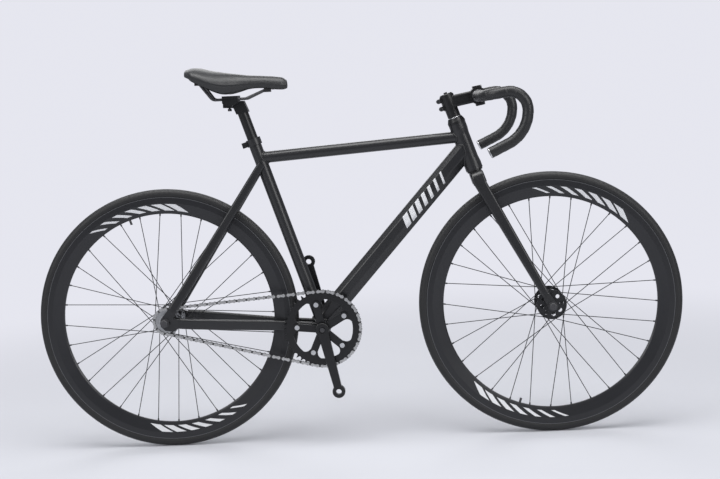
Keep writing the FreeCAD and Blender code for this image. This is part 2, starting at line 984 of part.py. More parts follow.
def chain_stay(name, side):
    """A chain stay before it is mitred: level along the tyre, then bent out to the track end."""
    along = (rear_axle - bottom_bracket).normalize()
    inner, outer = size["chain_stay_spread"], -stay_place(side).y * side
    reach = chain_stay_length - float(size["stay_end_gap"])
    straight = float(size["chain_stay_straight"])
    flared = chain_stay_length - float(size["chain_stay_flare_end"])
    places = [
        bottom_bracket + along * distance + point(0, -side * offset, 0)
        for distance, offset in ((0, inner), (straight, inner), (flared, outer), (reach, outer))
    ]
    up = Vector(along.z, 0, -along.x)
    frame = frame_at(places[0], Rotation(up, Vector(), along, "ZXY"))
    radii = [float(size["chain_stay_bend_radius"])] * 2
    corner, wall = size["stay_corner"], size["tube_wall"]
    depth, width = size["chain_stay_height"], size["chain_stay_width"]
    outside = section_sketch(f"chain_stay_{name}_outside", frame, rounded_box(depth, width, corner))
    inside = section_sketch(
        f"chain_stay_{name}_inside", frame, rounded_box(depth - wall * 2, width - wall * 2, corner - wall)
    )
    tube = swept(f"chain_stay_{name}_tube", outside, rounded_path(places, radii))
    flare_back = (places[1] - places[2]).normalize()
    bore_end = places[2] + flare_back * float(size["stay_solid_end"])
    bore = swept(f"chain_stay_{name}_bore", inside, rounded_path([*places[:2], bore_end], radii[:1]))
    return cut(tube, bore)


def track_end(name, side, seat_node):
    """A track end: a plate with a slot that opens to the rear and a tongue for each stay."""
    body = new_body(f"track_end_{name}")
    thickness = size["track_end_thickness"]
    inner = size["rear_hub_width"] / 2
    low = inner if side == RIGHT else -inner - thickness
    body.Placement = shifted(rear_frame, z=low)
    to_seat = (seat_node - rear_axle).normalize()
    to_chain = (bottom_bracket - rear_axle).normalize()
    half = float(size["track_end_tongue_width"] / 2)
    reach = float(size["track_end_tongue"])

    def tongue(along):
        """The two outer corners of a tongue, first the one on the right of its way out."""
        across = Vector(along.z, 0, -along.x)
        return [along * reach + across * half, along * reach - across * half]

    seat_low, seat_high = tongue(to_seat)
    chain_low, chain_high = tongue(to_chain)
    crotch = (to_seat + to_chain).normalize() * float(size["track_end_crotch"])
    tail, tail_half = size["track_end_tail"], size["track_end_tail_half"]
    corners = [
        (-tail, -tail_half),
        (0, -size["track_end_belly_drop"]),
        (size["track_end_heel_reach"], -size["track_end_heel_drop"]),
        (size["track_end_toe_reach"], -size["track_end_toe_drop"]),
        (chain_low.x, chain_low.z),
        (chain_high.x, chain_high.z),
        (crotch.x, crotch.z),
        (seat_low.x, seat_low.z),
        (seat_high.x, seat_high.z),
        (-tail, tail_half),
    ]
    sketch = new_sketch(body)
    draw_outline(sketch, corners)
    add_pad(body, sketch, thickness)
    slot_half = size["axle_radius"] + size["axle_slot_clearance"]
    slot = new_sketch(body, lift=thickness)
    room = size["track_slot_room"] - slot_half
    draw_outline(
        slot,
        [
            (-tail * 2, -slot_half),
            (room, -slot_half, slot_half, False),
            (room + slot_half, 0, slot_half, False),
            (room, slot_half),
            (-tail * 2, slot_half),
        ],
    )
    add_pocket(body, slot)
    return body


def seat_clamp():
    """The collar round the top of the seat tube, with its rear lug and bolt."""
    high = size["seat_tube_length"]
    low = high - size["seat_collar_height"]
    inner = size["seat_tube_radius"]
    collar = ring("collar", seat_frame, inner, size["seat_collar_radius"], low, high)
    half = size["seat_lug_width"] / 2
    lug_low = high - (size["seat_collar_height"] + size["seat_lug_height"]) / 2
    lug_high = lug_low + size["seat_lug_height"]
    lug = block(
        "collar_lug", seat_frame, (-size["seat_lug_reach"], -inner), (-half, half), (lug_low, lug_high)
    )
    core = cylinder("collar_core", seat_frame, inner, low, high)
    gap = size["seat_slot_width"] / 2
    slit = block("collar_slit", seat_frame, (-size["seat_lug_reach"], 0), (-gap, gap), (low, high))
    bolt_x = (size["seat_lug_reach"] + size["seat_collar_radius"]) / 2
    bolt_frame = turned_by(shifted(seat_frame, x=-bolt_x, z=(lug_low + lug_high) / 2), 90, X_AXIS)
    hole = cylinder("collar_bolt_hole", bolt_frame, size["small_bolt_radius"], -half, half)
    bolt = small_bolt("collar_bolt", shifted(bolt_frame, z=half), size["seat_lug_width"])
    keep(group(cut(fuse(collar, lug), core, slit, hole), bolt), "seat_clamp")


def small_bolt(name, frame, length):
    """A socket head bolt: its shank goes down from the frame's plane and its head stands on it."""
    shank, head = size["small_bolt_radius"], size["small_bolt_head_radius"]
    height = size["small_bolt_head_height"]
    return turned(
        name,
        frame,
        [
            (0, -length),
            (shank, -length),
            (shank, 0),
            (head, 0),
            (head, height),
            (shank, height),
            (shank, height / 2),
            (0, height / 2),
        ],
    )


def frame_bearings():
    """The bearings of the steering in the head tube, and the cups in the bottom bracket shell."""
    bore = size["steerer_radius"] + size["running_clearance"]
    outer, deep = size["headset_bore_radius"], size["headset_bearing_height"]
    cups = [
        ring("lower_head_bearing", head_frame, bore, outer, head_low, head_low + deep),
        ring("upper_head_bearing", head_frame, bore, outer, head_high - deep, head_high),
    ]
    bore = size["spindle_radius"] + size["running_clearance"]
    half = size["bb_shell_width"] / 2
    for name, side in SIDES.items():
        frame = side_frame(bottom_bracket)
        if side == LEFT:
            frame = turned_by(frame, 180, X_AXIS)
        cups.append(
            turned(
                f"bb_cup_{name}",
                frame,
                [
                    (bore, half - size["bb_cup_depth"]),
                    (size["bb_bore_radius"], half - size["bb_cup_depth"]),
                    (size["bb_bore_radius"], half),
                    (size["bb_cup_flange_radius"], half),
                    (size["bb_cup_flange_radius"], half + size["bb_cup_flange_height"]),
                    (bore, half + size["bb_cup_flange_height"]),
                ],
            )
        )
    keep(group(*cups), "bearing_cups")


def axle_set(name, frame, hub_width, plate):
    """An axle with its bearing cones, and a domed nut with a washer at each end."""
    half = hub_width / 2
    cone_start = half - size["hub_end_inset"] + size["face_gap"]
    end = half + plate + size["axle_end_reach"]
    shaft, cone = size["axle_radius"], size["axle_cone_radius"]
    keep(
        turned(
            f"{name}_axle_body",
            frame,
            [
                (0, -end),
                (shaft, -end),
                (shaft, -half),
                (cone, -half),
                (cone, -cone_start),
                (shaft, -cone_start),
                (shaft, cone_start),
                (cone, cone_start),
                (cone, half),
                (shaft, half),
                (shaft, end),
                (0, end),
            ],
        ),
        f"{name}_axle",
    )
    nuts = []
    seat = half + plate
    washer = seat + size["washer_height"]
    top = washer + size["nut_height"]
    for side_name, side in SIDES.items():
        nut_frame = frame if side == RIGHT else turned_by(frame, 180, X_AXIS)
        nuts.append(
            turned(
                f"{name}_nut_{side_name}",
                nut_frame,
                [
                    (shaft, seat),
                    (size["washer_radius"], seat),
                    (size["washer_radius"], washer),
                    (size["nut_radius"], washer),
                    (size["nut_radius"], top - size["nut_dome"], size["nut_dome"], False),
                    (size["nut_radius"] - size["nut_dome"], top),
                    (0, top),
                    (0, end),
                    (shaft, end),
                ],
            )
        )
    keep(group(*nuts), f"{name}_axle_nuts")


# Fork, headset and stem


def fork():
    """Steerer, crown, two straight blades and their ends."""
    high = stem_high - size["face_gap"]
    low = size["fork_length"] - size["crown_height"] + size["crown_arch_height"]
    bore = size["steerer_radius"] - size["steerer_wall"]
    keep(ring("steerer_body", head_frame, bore, size["steerer_radius"], low, high), "steerer_tube")
    steerer_solid = cylinder("steerer_solid", head_frame, size["steerer_radius"], low, high)
    keep(cut(fork_crown(), steerer_solid), "fork_crown")

    ends = []
    crown_low = size["fork_length"] - size["crown_height"]
    for name, side in SIDES.items():
        top = head_frame.multVec(point(0, -side * size["blade_spread"], crown_low))
        middle = size["front_hub_width"] / 2 + size["fork_end_thickness"] / 2
        foot = front_axle + point(0, -side * middle, 0)
        along = Vector(top.x - foot.x, 0, top.z - foot.z).normalize()
        end = fork_end(name, side, along)
        ends.append(end)
        blade_end = foot + along * float(size["blade_end_gap"])
        overrun = (top - blade_end).normalize() * float(size["blade_top_overrun"])
        blade = tapered_tube(
            f"fork_blade_{name}_body",
            top + overrun,
            blade_end,
            (size["blade_top_depth"], size["blade_top_width"]),
            (size["blade_end_depth"], size["blade_end_width"]),
            size["blade_corner"],
            size["tube_wall"],
            (0, size["blade_solid_end"]),
        )
        reach = size["crown_depth"] * 2
        around = (-reach, reach)
        above = block("above_blade", head_frame, around, around, (crown_low, crown_low + reach))
        keep(cut(blade, end, above), f"fork_blade_{name}")
    keep(group(*ends), "fork_ends")


def fork_crown():
    """The crown: an arch over the tyre with round shoulders, from the steerer to both blades."""
    body = new_body("crown_body")
    body.Placement = shifted(head_frame, z=size["fork_length"])
    half = size["blade_spread"] + size["blade_top_width"] / 2
    inner = size["blade_spread"] - size["blade_top_width"] / 2
    height, shoulder = size["crown_height"], size["crown_shoulder"]
    arch = size["crown_arch_height"]
    sketch = new_sketch(body, "YZ_Plane", lift=-size["crown_depth"] / 2)
    draw_outline(
        sketch,
        [
            (-half, -height),
            (-inner, -height),
            (-inner + arch, -height + arch),
            (inner - arch, -height + arch),
            (inner, -height),
            (half, -height),
            (half, -shoulder, shoulder, False),
            (half - shoulder, 0),
            (-half + shoulder, 0, shoulder, False),
            (-half, -shoulder),
        ],
    )
    pad = add_pad(body, sketch, size["crown_depth"])
    doc.recompute()
    rims = [
        f"Edge{number + 1}"
        for number, edge in enumerate(pad.Shape.Edges)
        if is_upper_rim(edge, float(size["crown_depth"]) / 2, float(half))
    ]
    rounding = body.newObject("PartDesign::Fillet", "rounding")
    rounding.Base = (pad, rims)
    bind(rounding, "Radius", size["crown_rounding"])
    return body


def is_upper_rim(edge, half_depth, half_width):
    """Tell whether an edge of the crown borders its front or rear face, on the top or the outside."""
    box = edge.BoundBox
    on_face = abs(abs(box.XMin) - half_depth) < 1e-6 and box.XLength < 1e-6
    outer = max(abs(box.YMin), abs(box.YMax)) >= half_width - 1e-6
    level = box.ZLength < 1e-6 and abs(box.ZMax) < 1e-6
    return on_face and (level or (outer and box.ZLength > 1e-6))


def fork_end(name, side, along):
    """A fork end: a round plate with a slot for the axle and a tongue up into the blade."""
    body = new_body(f"fork_end_{name}")
    thickness = size["fork_end_thickness"]
    inner = size["front_hub_width"] / 2
    low = inner if side == RIGHT else -inner - thickness
    lean = math.degrees(math.atan2(-along.x, along.z))
    body.Placement = turned_by(shifted(front_frame, z=low), lean)
    radius, half, reach = size["fork_end_radius"], size["fork_end_tongue_width"] / 2, size["fork_end_tongue"]
    sketch = new_sketch(body)
    draw_outline(
        sketch,
        [
            (-half, reach),
            (-radius, 0, radius, False),
            (0, -radius, radius, False),
            (radius, 0),
            (half, reach),
        ],
    )
    add_pad(body, sketch, thickness)
    slot_half = size["axle_radius"] + size["axle_slot_clearance"]
    slot = new_sketch(body, lift=thickness)
    draw_outline(
        slot,
        [
            (-slot_half, -radius * 2),
            (slot_half, -radius * 2),
            (slot_half, 0, slot_half, False),
            (0, slot_half, slot_half, False),
            (-slot_half, 0),
        ],
    )
    add_pocket(body, slot)
    return body


def headset_covers():
    """Crown race below the head tube, and conical cover and spacer above it."""
    bore, top = size["steerer_radius"], size["cover_top_radius"]
    race = ring("crown_race", head_frame, bore, size["crown_race_radius"], size["fork_length"], race_top)
    cover = turned(
        "cover",
        head_frame,
        [
            (bore, cover_low),
            (size["cover_radius"], cover_low),
            (size["cover_radius"], cover_low + size["cover_height"] / 3),
            (top, cover_high),
            (bore, cover_high),
        ],
    )
    spacer = ring("spacer", head_frame, bore, size["spacer_radius"], cover_high, stem_low)
    keep(group(race, cover, spacer), "headset_covers")
    cap_high = stem_high + size["top_cap_height"]
    cap = turned(
        "cap",
        head_frame,
        [
            (size["small_bolt_radius"], stem_high),
            (size["top_cap_radius"], stem_high),
            (size["top_cap_radius"], stem_high + size["top_cap_height"] / 2),
            (size["top_cap_radius"] - size["top_cap_height"] / 2, cap_high),
            (size["small_bolt_radius"], cap_high),
        ],
    )
    bolt = small_bolt("cap_bolt", shifted(head_frame, z=cap_high), size["top_cap_height"])
    keep(group(cap, bolt), "top_cap")


def stem():
    """The stem with its two clamps, the faceplate and their bolts."""
    clamp = cylinder("stem_clamp", head_frame, size["stem_clamp_radius"], stem_low, stem_high)
    steerer = cylinder("stem_bore", head_frame, size["steerer_radius"], stem_low, stem_high)
    extension = new_body("stem_extension")
    extension.Placement = turned_by(stem_frame, 90, Y_AXIS)
    sketch = new_sketch(extension)
    draw_outline(sketch, rounded_box(size["stem_height"], size["stem_width"], size["stem_corner"]))
    add_pad(extension, sketch, size["stem_length"])

    wide = size["bar_clamp_width"] / 2
    cross = turned_by(bar_frame, 90, X_AXIS)
    barrel = cylinder("bar_clamp", cross, size["bar_clamp_outer_radius"], -wide, wide)
    bar_hole = cylinder("bar_hole", cross, size["bar_clamp_radius"] + size["running_clearance"], -wide, wide)
    gap, lug = size["faceplate_gap"] / 2, size["faceplate_lug_height"]
    depth = size["faceplate_lug_depth"]
    rear_lug = block("stem_front_lug", bar_frame, (-depth, -gap), (-wide, wide), (-lug, lug))
    front_lug = block("faceplate_lug", bar_frame, (gap, depth), (-wide, wide), (-lug, lug))
    reach = size["bar_clamp_outer_radius"] * 2
    front_room = block("front_room", bar_frame, (-gap, reach), (-reach, reach), (-reach, reach))
    rear_room = block("rear_room", bar_frame, (-reach, gap), (-reach, reach), (-reach, reach))

    rear_lugs, rear_bolts = [], []
    for level, sign in (("upper", 1), ("lower", -1)):
        lug_frame = shifted(
            head_frame,
            x=-size["stem_lug_reach"],
            z=(stem_low + stem_high) / 2 + sign * size["stem_lug_spacing"] / 2,
        )
        half = size["stem_lug_width"] / 2
        lug_cross = turned_by(lug_frame, 90, X_AXIS)
        knuckle = cylinder(f"stem_{level}_lug", lug_cross, size["stem_lug_radius"], -half, half)
        web = block(
            f"stem_{level}_web",
            lug_frame,
            (0, size["stem_lug_reach"] - size["steerer_radius"]),
            (-half, half),
            (-size["stem_lug_radius"], size["stem_lug_radius"]),
        )
        rear_lugs += [knuckle, web]
        rear_bolts.append((f"stem_{level}_bolt", shifted(lug_cross, z=half), size["stem_lug_width"]))
    slit_half = size["stem_slit"] / 2
    slit = block(
        "stem_slit_room",
        head_frame,
        (-size["stem_lug_reach"] - size["stem_lug_radius"], 0),
        (-slit_half, slit_half),
        (stem_low, stem_high),
    )
    recesses = []
    for name, side in SIDES.items():
        outer = -side * size["stem_width"] / 2
        inner = outer + side * size["stem_recess_depth"]
        low, high = (outer, inner) if side == RIGHT else (inner, outer)
        start = size["stem_clamp_radius"] + size["stem_corner"] / 2
        tall = size["stem_recess_height"] / 2
        recesses.append(
            block(
                f"stem_recess_{name}",
                stem_frame,
                (start, start + size["stem_recess_length"]),
                (low, high),
                (-tall, tall),
            )
        )

    bolts = [small_bolt(*bolt) for bolt in rear_bolts]
    holes = [
        cylinder(f"{name}_hole", frame, size["small_bolt_radius"], -length, 0)
        for name, frame, length in rear_bolts
    ]
    face_holes, spot_faces = [], []
    for y_sign in (1, -1):
        for z_sign in (1, -1):
            name = f"face_bolt_{y_sign}_{z_sign}"
            seat = shifted(
                bar_frame,
                depth,
                y_sign * size["faceplate_bolt_spacing"] / 2,
                z_sign * size["faceplate_bolt_height"],
            )
            seat = turned_by(seat, 90, Y_AXIS)
            bolts.append(small_bolt(name, seat, depth * 2))
            face_holes.append(cylinder(f"{name}_hole", seat, size["small_bolt_radius"], -depth * 2, 0))
            spot_faces.append(cylinder(f"{name}_seat", seat, size["small_bolt_head_radius"], 0, reach))
    rear_barrel = cut(barrel, front_room)
    body = cut(fuse(clamp, extension, rear_barrel, rear_lug, *rear_lugs), front_room)
    keep(cut(body, steerer, bar_hole, slit, *recesses, *holes, *face_holes), "stem")
    plate = fuse(cut(barrel, rear_room), front_lug)
    keep(cut(plate, bar_hole, *face_holes, *spot_faces), "stem_faceplate")
    keep(group(*bolts), "stem_bolts")


# Handlebar


def bar_places(side, start):
    """The corners of one half of the bar's middle line, from a start off its middle."""
    half = -side * size["bar_width"] / 2
    reach, setback = float(size["bar_reach"]), float(size["bar_end_setback"])
    rise = math.tan(math.radians(float(size["bar_ramp_angle"])))
    fall = math.tan(math.radians(float(size["bar_end_angle"])))
    drop = float(size["bar_drop"])
    flat = frame_at(bar_centre)
    return [
        flat.multVec(point(*corner))
        for corner in (
            (0, -side * start, 0),
            (0, half, 0),
            (reach, half, reach * rise),
            (reach, half, (reach - setback) * fall - drop),
            (setback, half, -drop),
        )
    ]


def bar_radii():
    """The bends of one half of the bar, from its middle to its end."""
    return [float(size[name]) for name in ("bar_bend_radius", "bar_hook_radius", "bar_drop_radius")]


def handlebar():
    """The drop bar, its tape and its end plugs."""
    right, left = bar_places(RIGHT, 0), bar_places(LEFT, 0)
    whole = [*reversed(right), *left[1:]]
    del whole[len(right) - 1]
    radii = [*reversed(bar_radii()), *bar_radii()]
    outside = swept_round("bar_outside", size["bar_radius"], whole, radii)
    inside = swept_round("bar_inside", size["bar_radius"] - size["bar_wall"], whole, radii)
    thick, thin = size["bar_clamp_radius"], size["bar_radius"]
    middle, taper = size["bar_clamp_half"], size["bar_taper_half"]
    bulge = turned(
        "bar_bulge",
        turned_by(frame_at(bar_centre), 90, X_AXIS),
        [(0, -taper), (thin, -taper), (thick, -middle), (thick, middle), (thin, taper), (0, taper)],
    )
    keep(cut(fuse(outside, bulge), inside), "handlebar")

    plugs = []
    outer = size["bar_radius"] + size["tape_thickness"]
    for name, side in SIDES.items():
        places = bar_places(side, size["tape_start"])
        sleeve = swept_round(f"tape_{name}", outer, places, bar_radii())
        keep(cut(sleeve, outside), f"bar_tape_{name}")
        end_frame = frame_at(places[-1], Rotation(Z_AXIS, places[-1] - places[-2]))
        bore = size["bar_radius"] - size["bar_wall"]
        plugs.append(
            turned(
                f"plug_{name}",
                end_frame,
                [
                    (0, -size["plug_depth"]),
                    (bore, -size["plug_depth"]),
                    (bore, 0),
                    (outer, 0),
                    (outer, size["plug_cap_height"] / 3),
                    (outer - size["plug_cap_height"], size["plug_cap_height"]),
                    (0, size["plug_cap_height"]),
                ],
            )
        )
    keep(group(*plugs), "bar_end_plugs")


# Wheels


def rim_levels():
    """The radii of the rim's bed, of the foot of its straight walls and of its nose."""
    top = size["rim_radius"]
    return top - size["rim_bed_depth"], top - size["rim_brake_height"], top - size["rim_depth"]


def rim_profile():
    """The hollow section of the rim: straight walls, sides that taper to the nose, and a cavity."""
    top, half, wall = size["rim_radius"], size["rim_width"] / 2, size["rim_wall"]
    bed, brake, nose = rim_levels()
    chin = nose + size["rim_nose_height"]
    outside = [
        (bed, half - wall),
        (top, half - wall),
        (top, half),
        (brake, half),
        (chin, size["rim_nose_width"] / 2),
        (nose, size["rim_nose_flat"] / 2),
    ]
    cavity = [
        (bed - wall, half - wall),
        (brake, half - wall),
        (chin, size["rim_nose_width"] / 2 - wall),
    ]
    return [mirrored(outside), mirrored(cavity)]


def mirrored(corners):
    """A closed outline from the corners of its upper half."""
    return [*corners, *((radius, -height) for radius, height in reversed(corners))]


def tyre_profile():
    """The section of the tyre: a round casing whose beads stand in the rim."""
    half, casing = size["tyre_width"] / 2, size["tyre_casing"]
    bead = size["rim_width"] / 2 - size["rim_wall"]
    bed, rim_top = rim_levels()[0], size["rim_radius"]
    middle = size["tyre_radius"] - half
    inner = half - casing
    return [
        (bed, -bead + casing),
        (bed, -bead),
        (rim_top, -bead),
        (middle, -half, half, False),
        (middle + half, 0, half, False),
        (middle, half),
        (rim_top, bead),
        (bed, bead),
        (bed, bead - casing),
        (rim_top, bead - casing),
        (middle, inner, inner, True),
        (middle + inner, 0, inner, True),
        (middle, -inner),
        (rim_top, -bead + casing),
    ]


def hub_profile(name, right_steps):
    """The outline of a hub shell: a barrel with two flanges, bored for its bearings."""
    flange, offset = size[f"{name}_flange_radius"], size[f"{name}_flange_offset"]
    half = size["flange_thickness"] / 2
    end = size[f"{name}_hub_width"] / 2 - size["hub_end_inset"]
    bore, barrel, seat = size["hub_bore_radius"], size["hub_barrel_radius"], size["hub_end_radius"]
    return [
        (bore, -end),
        (seat, -end),
        (seat, -offset - half),
        (flange, -offset - half),
        (flange, -offset + half),
        (barrel, -offset + half),
        (barrel, offset - half),
        (flange, offset - half),
        (flange, offset + half),
        *right_steps,
        (bore, end),
    ]


def hub_shell(name, frame, right_steps):
    """A hub shell with its spoke holes and the windows in its flanges."""
    body = turned(f"{name}_hub_body", frame, hub_profile(name, right_steps))
    flange, offset = size[f"{name}_flange_radius"], size[f"{name}_flange_offset"]
    thickness = size["flange_thickness"]
    circle = flange - size["spoke_hole_inset"]
    per_side = size["spoke_count"] / 2
    window = (circle + size["hub_barrel_radius"]) / 2
    step = 360 / float(size["spoke_count"])
    for side in SIDES.values():
        face = side * offset + thickness / 2
        turn = 0 if side == RIGHT else step
        for radius, place, count, phase in (
            (size["spoke_radius"] + size["spoke_hole_clearance"], circle, per_side, turn),
            (size["flange_window_radius"], window, size["flange_window_count"], turn + step),
        ):
            sketch = new_sketch(body, lift=face, turn=phase)
            draw_circle(sketch, radius, place)
            hole = add_pocket(body, sketch, thickness)
            add_pattern(body, hole, count)
    return body


def spoke_and_nipple(name, index):
    """One spoke with its nipple, in the wheel's own frame, by the number of its hole in the rim.

    Even holes lead to the right flange and odd ones to the left. Of each four, the first two lean
    forward and run outside their flange, and the other two lean back and run inside it.
    """
    count = float(size["spoke_count"])
    side = RIGHT if index % 2 == 0 else LEFT
    outside = 1 if index < 2 else -1
    rim_angle = 2 * math.pi * index / count
    hub_angle = rim_angle + outside * float(size["spoke_crosses"]) * 4 * math.pi / count
    hole = float(size[f"{name}_flange_radius"] - size["spoke_hole_inset"])
    offset, half = float(size[f"{name}_flange_offset"]), float(size["flange_thickness"] / 2)
    radius, height = float(size["spoke_radius"]), float(size["spoke_head_height"])
    seat = side * (offset - outside * half)
    run = side * (offset + outside * (half + float(size["spoke_elbow_reach"])))
    axial = Vector(0, 0, side * outside)

    start = Vector(hole * math.cos(hub_angle), hole * math.sin(hub_angle), seat)
    corner = Vector(start.x, start.y, run)
    wall = float(rim_levels()[2] + size["rim_nose_height"] / 2)
    rim_place = Vector(wall * math.cos(rim_angle), wall * math.sin(rim_angle), 0)
    along = (rim_place - corner).normalize()
    length = float(size["nipple_length"])
    end = rim_place + along * (length / 2)

    path = rounded_path([start, corner, end], [float(size["spoke_elbow_radius"])])
    section = Part.Wire(Part.makeCircle(radius, start, axial))
    rod = path.makePipeShell([section], True, False)
    head = Part.makeCylinder(float(size["spoke_head_radius"]), height, start, axial * -1)
    nipple = Part.makeCylinder(float(size["nipple_radius"]), length, end, along * -1)
    bore = Part.makeCylinder(radius, length, end, along * -1)
    return rod.fuse(head), nipple.cut(bore)


def round_wheel(shapes, count):
    """Copies of shapes, spread evenly about the wheel's axis."""
    copies = []
    for number in range(count):
        for shape in shapes:
            copy = shape.copy()
            copy.rotate(Vector(), Z_AXIS, 360 * number / count)
            copies.append(copy)
    return Part.makeCompound(copies)


def wheel(name, axle_frame, right_steps):
    """A wheel: hub, bearings, spokes, nipples, rim, tyre and valve."""
    frame = turned_by(axle_frame, size[f"{name}_spoke_phase"])
    keep(hub_shell(name, frame, right_steps), f"{name}_hub_shell")
    end = size[f"{name}_hub_width"] / 2 - size["hub_end_inset"]
    bore, seat = size["axle_radius"] + size["running_clearance"], size["hub_bore_radius"]
    width = size["hub_bearing_width"]
    bearings = [
        ring(f"{name}_bearing_{number}", frame, bore, seat, low, low + width)
        for number, low in enumerate((-end, end - width))
    ]
    keep(group(*bearings), f"{name}_hub_bearings")

    spokes, nipples = zip(*(spoke_and_nipple(name, index) for index in range(4)))
    copies = int(float(size["spoke_count"])) // 4
    keep(shape_piece(f"{name}_spoke_set", round_wheel(spokes, copies), frame), f"{name}_spokes")
    keep(shape_piece(f"{name}_nipple_set", round_wheel(nipples, copies), frame), f"{name}_nipples")

    bed, brake, nose = rim_levels()
    rim = turned(f"{name}_rim_body", frame, *rim_profile())
    holes = new_sketch(rim, "YZ_Plane", lift=brake)
    draw_circle(holes, size["nipple_radius"] + size["nipple_hole_clearance"])
    hole = add_pocket(rim, holes, size["rim_depth"])
    add_pattern(rim, hole, size["spoke_count"])
    valve_angle = size[f"{name}_valve_step"] * 360 / size["spoke_count"]
    valve_frame = turned_by(turned_by(frame, valve_angle), 90, Y_AXIS)
    valve_radius = size["valve_radius"]
    valve_hole = cylinder(
        f"{name}_valve_hole", valve_frame, valve_radius + size["valve_hole_clearance"], nose / 2, bed
    )
    keep(cut(rim, valve_hole), f"{name}_rim")
    keep(turned(f"{name}_tyre_body", frame, tyre_profile()), f"{name}_tyre")
    tip = nose - size["valve_reach"]
    keep(cylinder(f"{name}_valve_stem", valve_frame, valve_radius, tip, bed), f"{name}_valve")


def wheels():
    """Both wheels, with the sprocket and lockring on the right of the rear hub."""
    half = size["flange_thickness"] / 2
    face = size["front_flange_offset"] + half
    end = size["front_hub_width"] / 2 - size["hub_end_inset"]
    seat = size["hub_end_radius"]
    wheel("front", front_frame, [(seat, face), (seat, end)])

    face = size["rear_flange_offset"] + half
    end = size["rear_hub_width"] / 2 - size["hub_end_inset"]
    shoulder = size["chain_line"] + size["tooth_thickness"] / 2
    lock_end = shoulder + size["lockring_height"]
    thread, lock_thread = size["sprocket_thread_radius"], size["lockring_thread_radius"]
    barrel = size["hub_barrel_radius"]
    steps = [
        (thread, face),
        (thread, shoulder),
        (lock_thread, shoulder),
        (lock_thread, lock_end),
        (barrel, lock_end),
        (barrel, end),
    ]
    wheel("rear", rear_frame, steps)
    keep(
        ring("lockring_body", rear_frame, lock_thread, size["lockring_radius"], shoulder, lock_end),
        "lockring",
    )


# Chain, sprocket and cranks


def chain_layout():
    """The angles and lengths of the chain's closed path, seen from the right."""
    large, small = float(ring_radius), float(sprocket_radius)
    slope = math.asin((large - small) / chain_stay_length)
    to_bb = bottom_bracket - rear_axle
    axis = math.atan2(to_bb.z, to_bb.x)
    return {
        "upper": axis + math.pi / 2 + slope,
        "lower": axis - math.pi / 2 - slope,
        "ring_arc": large * (math.pi + 2 * slope),
        "sprocket_arc": small * (math.pi - 2 * slope),
        "straight": chain_stay_length * math.cos(slope),
    }


def on_circle(centre, radius, angle):
    """A place on a circle in the bike's plane."""
    return centre + Vector(radius * math.cos(angle), 0, radius * math.sin(angle))


def chain_place(distance, layout):
    """The place on the chain's path at a distance from where it meets the top of the ring."""
    large, small = float(ring_radius), float(sprocket_radius)
    if distance < layout["ring_arc"]:
        return on_circle(bottom_bracket, large, layout["upper"] - distance / large)
    distance -= layout["ring_arc"]
    if distance < layout["straight"]:
        start = on_circle(bottom_bracket, large, layout["lower"])
        end = on_circle(rear_axle, small, layout["lower"])
        return start + (end - start) * (distance / layout["straight"])
    distance -= layout["straight"]
    if distance < layout["sprocket_arc"]:
        return on_circle(rear_axle, small, layout["lower"] - distance / small)
    distance -= layout["sprocket_arc"]
    start = on_circle(rear_axle, small, layout["upper"])
    end = on_circle(bottom_bracket, large, layout["upper"])
    return start + (end - start) * (distance / layout["straight"])


def link_shape(length, outer):
    """A link along X: two waisted plates, joined by two pins or by two bored rollers."""
    inner_face = float(size["chain_inner_width"] / 2)
    thickness = float(size["chain_plate_thickness"])
    pin = float(size["pin_radius"])
    if outer:
        inner_face += thickness + float(size["chain_plate_gap"])
    plate_radius, waist = float(size["chain_plate_radius"]), float(size["chain_waist_height"])
    solids = []
    for low in (inner_face, -inner_face - thickness):
        solids.append(Part.makeBox(length, waist, thickness, Vector(0, -waist / 2, low)))
        for x in (0, length):
            solids.append(Part.makeCylinder(plate_radius, thickness, Vector(x, 0, low)))
    reach = inner_face + thickness + float(size["pin_reach"])
    half = reach if outer else inner_face
    radius = pin if outer else float(size["roller_radius"])
    for x in (0, length):
        solids.append(Part.makeCylinder(radius, 2 * half, Vector(x, 0, -half)))
    link = solids[0].fuse(solids[1:]).removeSplitter()
    if outer:
        return link
    bore = pin + float(size["pin_clearance"])
    holes = [Part.makeCylinder(bore, 2 * reach, Vector(x, 0, -reach)) for x in (0, length)]
    return link.cut(holes)


def chain():
    """The chain: outer and inner links in turn, on the ring, the sprocket and two straight runs."""
    layout = chain_layout()
    pitch, count = float(size["chain_pitch"]), int(float(size["chain_links"]))
    rollers = [chain_place(number * pitch, layout) for number in range(count)]
    middle = frame_at(point(0, -size["chain_line"], 0))
    shapes, links = {}, []
    for number, start in enumerate(rollers):
        reach = rollers[(number + 1) % count] - start
        kind = (round(reach.Length, 6), number % 2 == 0)
        if kind not in shapes:
            shapes[kind] = link_shape(*kind)
        link = shapes[kind].copy()
        link.Placement = middle.multiply(frame_at(start, Rotation(reach, Vector(), -Y_AXIS, "ZXY")))
        links.append(link)
    keep(shape_piece("chain_links_body", Part.makeCompound(links)), "chain")


def cut_teeth(body, radius, teeth, turn, face):
    """Cut the gaps between the teeth of a wheel, so that rollers seat on a radius."""
    seat = size["roller_radius"] + size["roller_seat_clearance"]
    top = radius + size["tooth_height"] * 2
    gap = new_sketch(body, lift=face, turn=turn)
    draw_outline(
        gap,
        [
            (-seat, radius, seat, False),
            (0, radius - seat, seat, False),
            (seat, radius),
            (seat + size["tooth_flank"] * 2, top),
            (-seat - size["tooth_flank"] * 2, top),
        ],
    )
    pocket = add_pocket(body, gap, size["tooth_thickness"])
    add_pattern(body, pocket, teeth)


